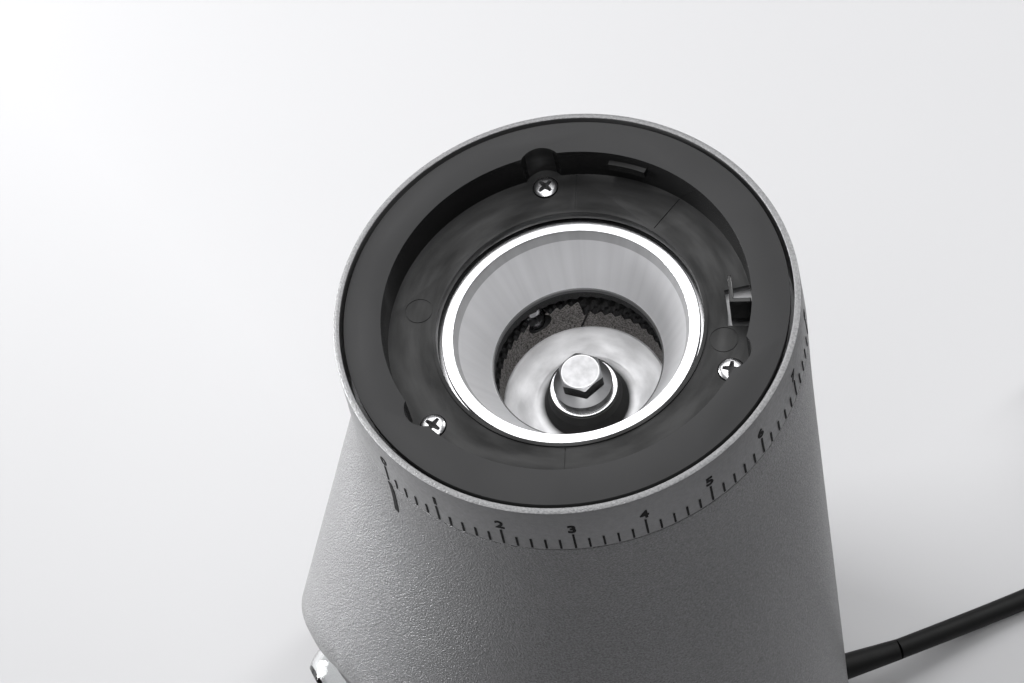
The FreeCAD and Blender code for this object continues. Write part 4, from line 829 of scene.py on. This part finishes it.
def toothed_ring(seat, crest, dish, climb, tooth):
    """Ring with coarse teeth and feeding ramps at its bore, and fine teeth on its land."""
    towards = 1 if seat > crest else -1
    coarse, fine, fine_depth = 48, 144, 0.42
    lean_per_mm = 0.012
    samples = fine * 6
    radii = [BURR_BORE, 21.7, 22.6, 23.8, 25.0, BURR_LAND, 26.4, 27.6, 28.7, BURR_EDGE]
    bm = bmesh.new()
    rings = []
    for radius in radii:
        inward = max(0.0, (BURR_LAND - radius) / (BURR_LAND - BURR_BORE))
        lean = (radius - BURR_BORE) * lean_per_mm
        edge = 0.3 if radius == BURR_EDGE else 0.0
        ring = []
        for k in range(samples):
            share = k / samples
            big = saw(coarse * (share - lean), 0.7)
            small = saw(fine * (share - lean))
            ramp = saw(RAMPS * (RAMP_END / 360 - share + lean), 0.985)
            depth = inward * (dish - climb * ramp + tooth * big)
            depth += (1 - min(inward * 3, 1)) * fine_depth * small + edge
            spot = polar(radius, 360.0 * share) + Vector((0, 0, crest + towards * depth))
            ring.append(bm.verts.new(DEPTHS @ spot))
        rings.append(ring)
    for radius in (BURR_EDGE, BURR_BORE):
        rings.append([bm.verts.new(DEPTHS @ (polar(radius, 360.0 * k / samples)
                                             + Vector((0, 0, seat)))) for k in range(samples)])
    for low, high in zip(rings, rings[1:] + rings[:1]):
        for k in range(samples):
            j = (k + 1) % samples
            bm.faces.new((low[k], low[j], high[j], high[k]))
    return bm


def screw_pockets(seat, crest, rest):
    """Cutters for the screw holes: a round pocket to the depth rest, then a countersink."""
    towards = 1 if seat > crest else -1
    outline = [(0.0, crest - towards * 4, 0), (POCKET, crest - towards * 4, 0),
               (POCKET, rest, 0), (POCKET / 2, rest + towards * 1.6, 0),
               (POCKET / 2, seat + towards, 0), (0.0, seat + towards, 0)]
    bm = bmesh.new()
    for angle in BURR_SCREWS:
        lathe(bm, outline, DEPTHS @ Matrix.Translation(polar(SCREW_CIRCLE, angle)), segments=40)
    return bm


def bore_cuts(rest):
    """Cutters that open the screw pockets to the bore, and a slanted groove at each ramp."""
    inner, groove_depth, slant = 19.0, 40.5, -20.0
    outline = [(0.0, inner, 0), (POCKET, inner, 0), (POCKET, SCREW_CIRCLE, 0),
               (0.0, SCREW_CIRCLE, 0)]
    flat = Matrix.Rotation(math.radians(90), 4, "Y")
    lean = Matrix.Rotation(math.radians(slant), 4, "X")
    bm = bmesh.new()
    for angle in BURR_SCREWS:
        turn = Matrix.Rotation(math.radians(angle), 4, "Z")
        place = DEPTHS @ turn @ Matrix.Translation((0, 0, rest - POCKET)) @ flat
        lathe(bm, outline, place, segments=40)
    for ramp in range(RAMPS):
        turn = Matrix.Rotation(math.radians(RAMP_END - 0.6 + ramp * 360 / RAMPS), 4, "Z")
        place = DEPTHS @ turn @ Matrix.Translation((0, 0, groove_depth)) @ lean
        block(bm, place, (20.0, 21.3), (-0.3, 0.3), (-6.0, 4.3))
    return bm


def add_upper_burr():
    seat, crest = 28.2, 36.0
    mesh = mesh_of(toothed_ring(seat, crest, dish=5.2, climb=0.6, tooth=0.6), "blank")
    mesh = carved(mesh, screw_pockets(seat, crest, seat + POCKET_FLOOR))
    piece_from("upper_cutting_ring", mesh, "upper_burr", "burr_shade", ["upper_burr"])


def add_lower_burr():
    """Its bore is bare steel, the open sides of its screw pockets are painted bright as a highlight,
    and its teeth are painted dark as shade.
    """
    seat, crest = 44.6, 36.4
    rest = seat - POCKET_FLOOR
    mesh = mesh_of(toothed_ring(seat, crest, dish=1.2, climb=5.0, tooth=1.7), "blank")
    mesh = carved(carved(mesh, screw_pockets(seat, crest, rest)), bore_cuts(rest))
    piece = piece_from("lower_cutting_ring", mesh, "lower_burr",
                       ["burr_shade", "burr_steel", "bright_steel"], ["lower_burr"])
    for face in piece.data.polygons:
        radius = math.hypot(face.center.x, face.center.y - AXIS_Y) / MM
        depth = (RIM_Z - face.center.z) / MM
        if radius < BURR_BORE + 0.1:
            face.material_index = 1
        # painted highlight: a bright arc along the lower edge of each open screw pocket
        elif 21.4 < radius < 24.0 and 39.4 < depth < rest + 0.2:
            face.material_index = 2
        # painted shade: the teeth and the rest are near black
        else:
            face.material_index = 0


def add_lower_carrier():
    """Spun disc with a dished floor, a filleted hub and two sweeping paddles."""
    outline = [(30.2, 44.6, 0.3), (20.7, 44.6, 0.1), (20.5, 44.8, 0.1), (13.0, 46.2, 3.0),
               (8.4, 46.2, 0.2), (8.4, 39.2, 0.12), (7.25, 39.2, 0), (7.25, 37.2, 0),
               (3.2, 37.2, 0.1), (3.2, 38.7, 0), (5.02, 38.7, 0), (5.02, 51.5, 0.2),
               (8.4, 51.5, 0.3), (8.4, 49.5, 0.3), (30.2, 49.5, 0.3)]
    hub_top, hub_foot, hub_radius = 39.2, 45.0, 9.0

    def painted(radius, depth):
        # painted highlight: the flat ring at the hub top is bright_aluminium
        if hub_top - 0.1 < depth < hub_top + 0.2:
            return 1
        # painted shade: the hub's walls and the faces under the washer are dark_recess
        return 2 if depth < hub_foot and radius < hub_radius else 0

    bm = lathe(bmesh.new(), outline, DEPTHS, segments=192, painted=painted)
    for side in (1, -1):
        block(bm, DEPTHS, (-1.5, 1.5), (18 * side, 30 * side), (49.3, 51.4))
    piece_from("burr_drive_disc", bm, "lower_burr_carrier",
               ["spun_disc", "bright_aluminium", "dark_recess"], ["lower_burr_carrier"])


def add_hub_seal():
    """Flared rubber skirt round the hub."""
    outline = [(8.45, 39.6, 0.1), (8.9, 39.6, 0.2), (9.3, 42.5, 1.0), (10.6, 45.4, 0.5),
               (10.6, 46.15, 0.05), (8.45, 46.15, 0)]
    bm = lathe(bmesh.new(), outline, DEPTHS, segments=128)
    piece_from("hub_dust_seal", bm, "hub_seal", "rubber", ["hub_seal"])


def add_washer():
    """Cone-shaped washer whose underside and outer edge are painted dark as shade."""
    rim = 37.02
    outline = [(3.2, 35.6, 0.1), (4.8, 35.6, 0.3), (7.35, 37.0, 0.03), (7.35, 37.15, 0.03),
               (3.2, 37.15, 0)]
    bm = lathe(bmesh.new(), outline, DEPTHS, segments=128,
               painted=lambda radius, depth: int(depth > rim))
    piece_from("bolt_washer", bm, "carrier_washer", ["washer_steel", "dark_recess"],
               ["carrier_washer"])


def add_bolt():
    """Hexagon head with a turned chamfer, on its shank, built as rings from its top down."""
    across, low, high, tilt = 10.0, 35.58, 31.6, 0.5
    flat = across / 2
    face_edge = flat * 0.94
    count = 96
    angles = [360 * k / count for k in range(count)]
    corners = [flat / math.cos(math.radians((angle + HEX_TURN) % 60 - 30)) for angle in angles]

    def ring(radii, depths):
        return [polar(r, angle) + Vector((0, 0, depth))
                for r, angle, depth in zip(radii, angles, depths)]

    rings = [ring([face_edge * share] * count, [high] * count) for share in (0, 0.5, 0.96, 1)]
    for share in (0.25, 0.5, 0.75, 1.0):
        out = [(corner - face_edge) * share for corner in corners]
        rings.append(ring([face_edge + reach for reach in out],
                          [high + 0.05 + reach * tilt for reach in out]))
    rings.append(ring(corners, [low] * count))
    for radius, depth in ((3.0, low), (3.0, 61.5), (2.5, 62.0), (0.0, 62.0)):
        rings.append(ring([radius] * count, [depth] * count))
    finishes = ["bright_steel", "dark_recess", "milled_steel", "washer_steel"]
    # painted shade: most of the chamfer takes the darker washer_steel, and the flanks and shank take
    # dark_recess
    bands = (["milled_steel"] * 2 + ["bright_steel"] * 2 + ["washer_steel"] * 3
             + ["dark_recess"] * 5)
    bm = bmesh.new()
    made = [[bm.verts.new(DEPTHS @ point) for point in points] for points in rings]
    for upper, lower, band in zip(made, made[1:], bands):
        for k in range(count):
            j = (k + 1) % count
            face = bm.faces.new((upper[k], upper[j], lower[j], lower[k]))
            face.material_index = finishes.index(band)
    piece_from("hex_bolt", bm, "carrier_bolt", finishes, ["carrier_bolt"])


add_funnel()
add_upper_burr()
add_lower_burr()
add_lower_carrier()
add_hub_seal()
add_washer()
add_bolt()


# ---------------------------------------------------------------- body, front and container

softened("body_shell", "flared_body", 0.45, segments=2)
softened("front_panel", "front_cover", 0.4, segments=2)
softened("container_bay", "container_niche", 0.5)
softened("grounds_container", "clear_container", 0.35)
softened("rubber_feet", "standing_feet", 0.6)


def add_button():
    """Push button with a dished face, and its ring, both turned about the Y axis."""
    low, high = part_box("power_button")
    bezel_low, bezel_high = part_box("button_bezel")
    turn = Matrix.Rotation(math.radians(90), 4, "X")
    height = (low.z + high.z) / 2
    place = Matrix.Translation((0, 0, height)) @ turn @ Matrix.Scale(MM, 4)
    front = -low.y / MM
    back = -high.y / MM
    bm = lathe(bmesh.new(), [
        (0.0, front - 0.9, 0), (3.0, front - 0.8, 0), (5.6, front - 0.35, 0),
        (7.0, front, 0.3), (7.95, front - 0.5, 0.4), (7.95, front - 6.2, 0.3),
        (2.5, front - 6.2, 0), (2.5, back, 0.3), (0.0, back, 0)], place, segments=96)
    piece_from("push_button", bm, "power_button", "gloss_moulding", ["power_button"])
    rim = -bezel_low.y / MM
    foot = -bezel_high.y / MM
    bm = lathe(bmesh.new(), [
        (8.3, rim - 0.3, 0.15), (9.0, rim, 0.2), (10.3, rim - 0.2, 0.3), (10.6, rim - 1.0, 0.1),
        (9.3, rim - 1.0, 0), (9.3, foot, 0.1), (8.3, foot, 0.1)], place, segments=96)
    piece_from("button_ring", bm, "button_bezel", "rim_coat", ["button_bezel"])


add_button()

for node, piece in frame["nodes"].items():
    if not piece.hide_render:
        repaint(node)
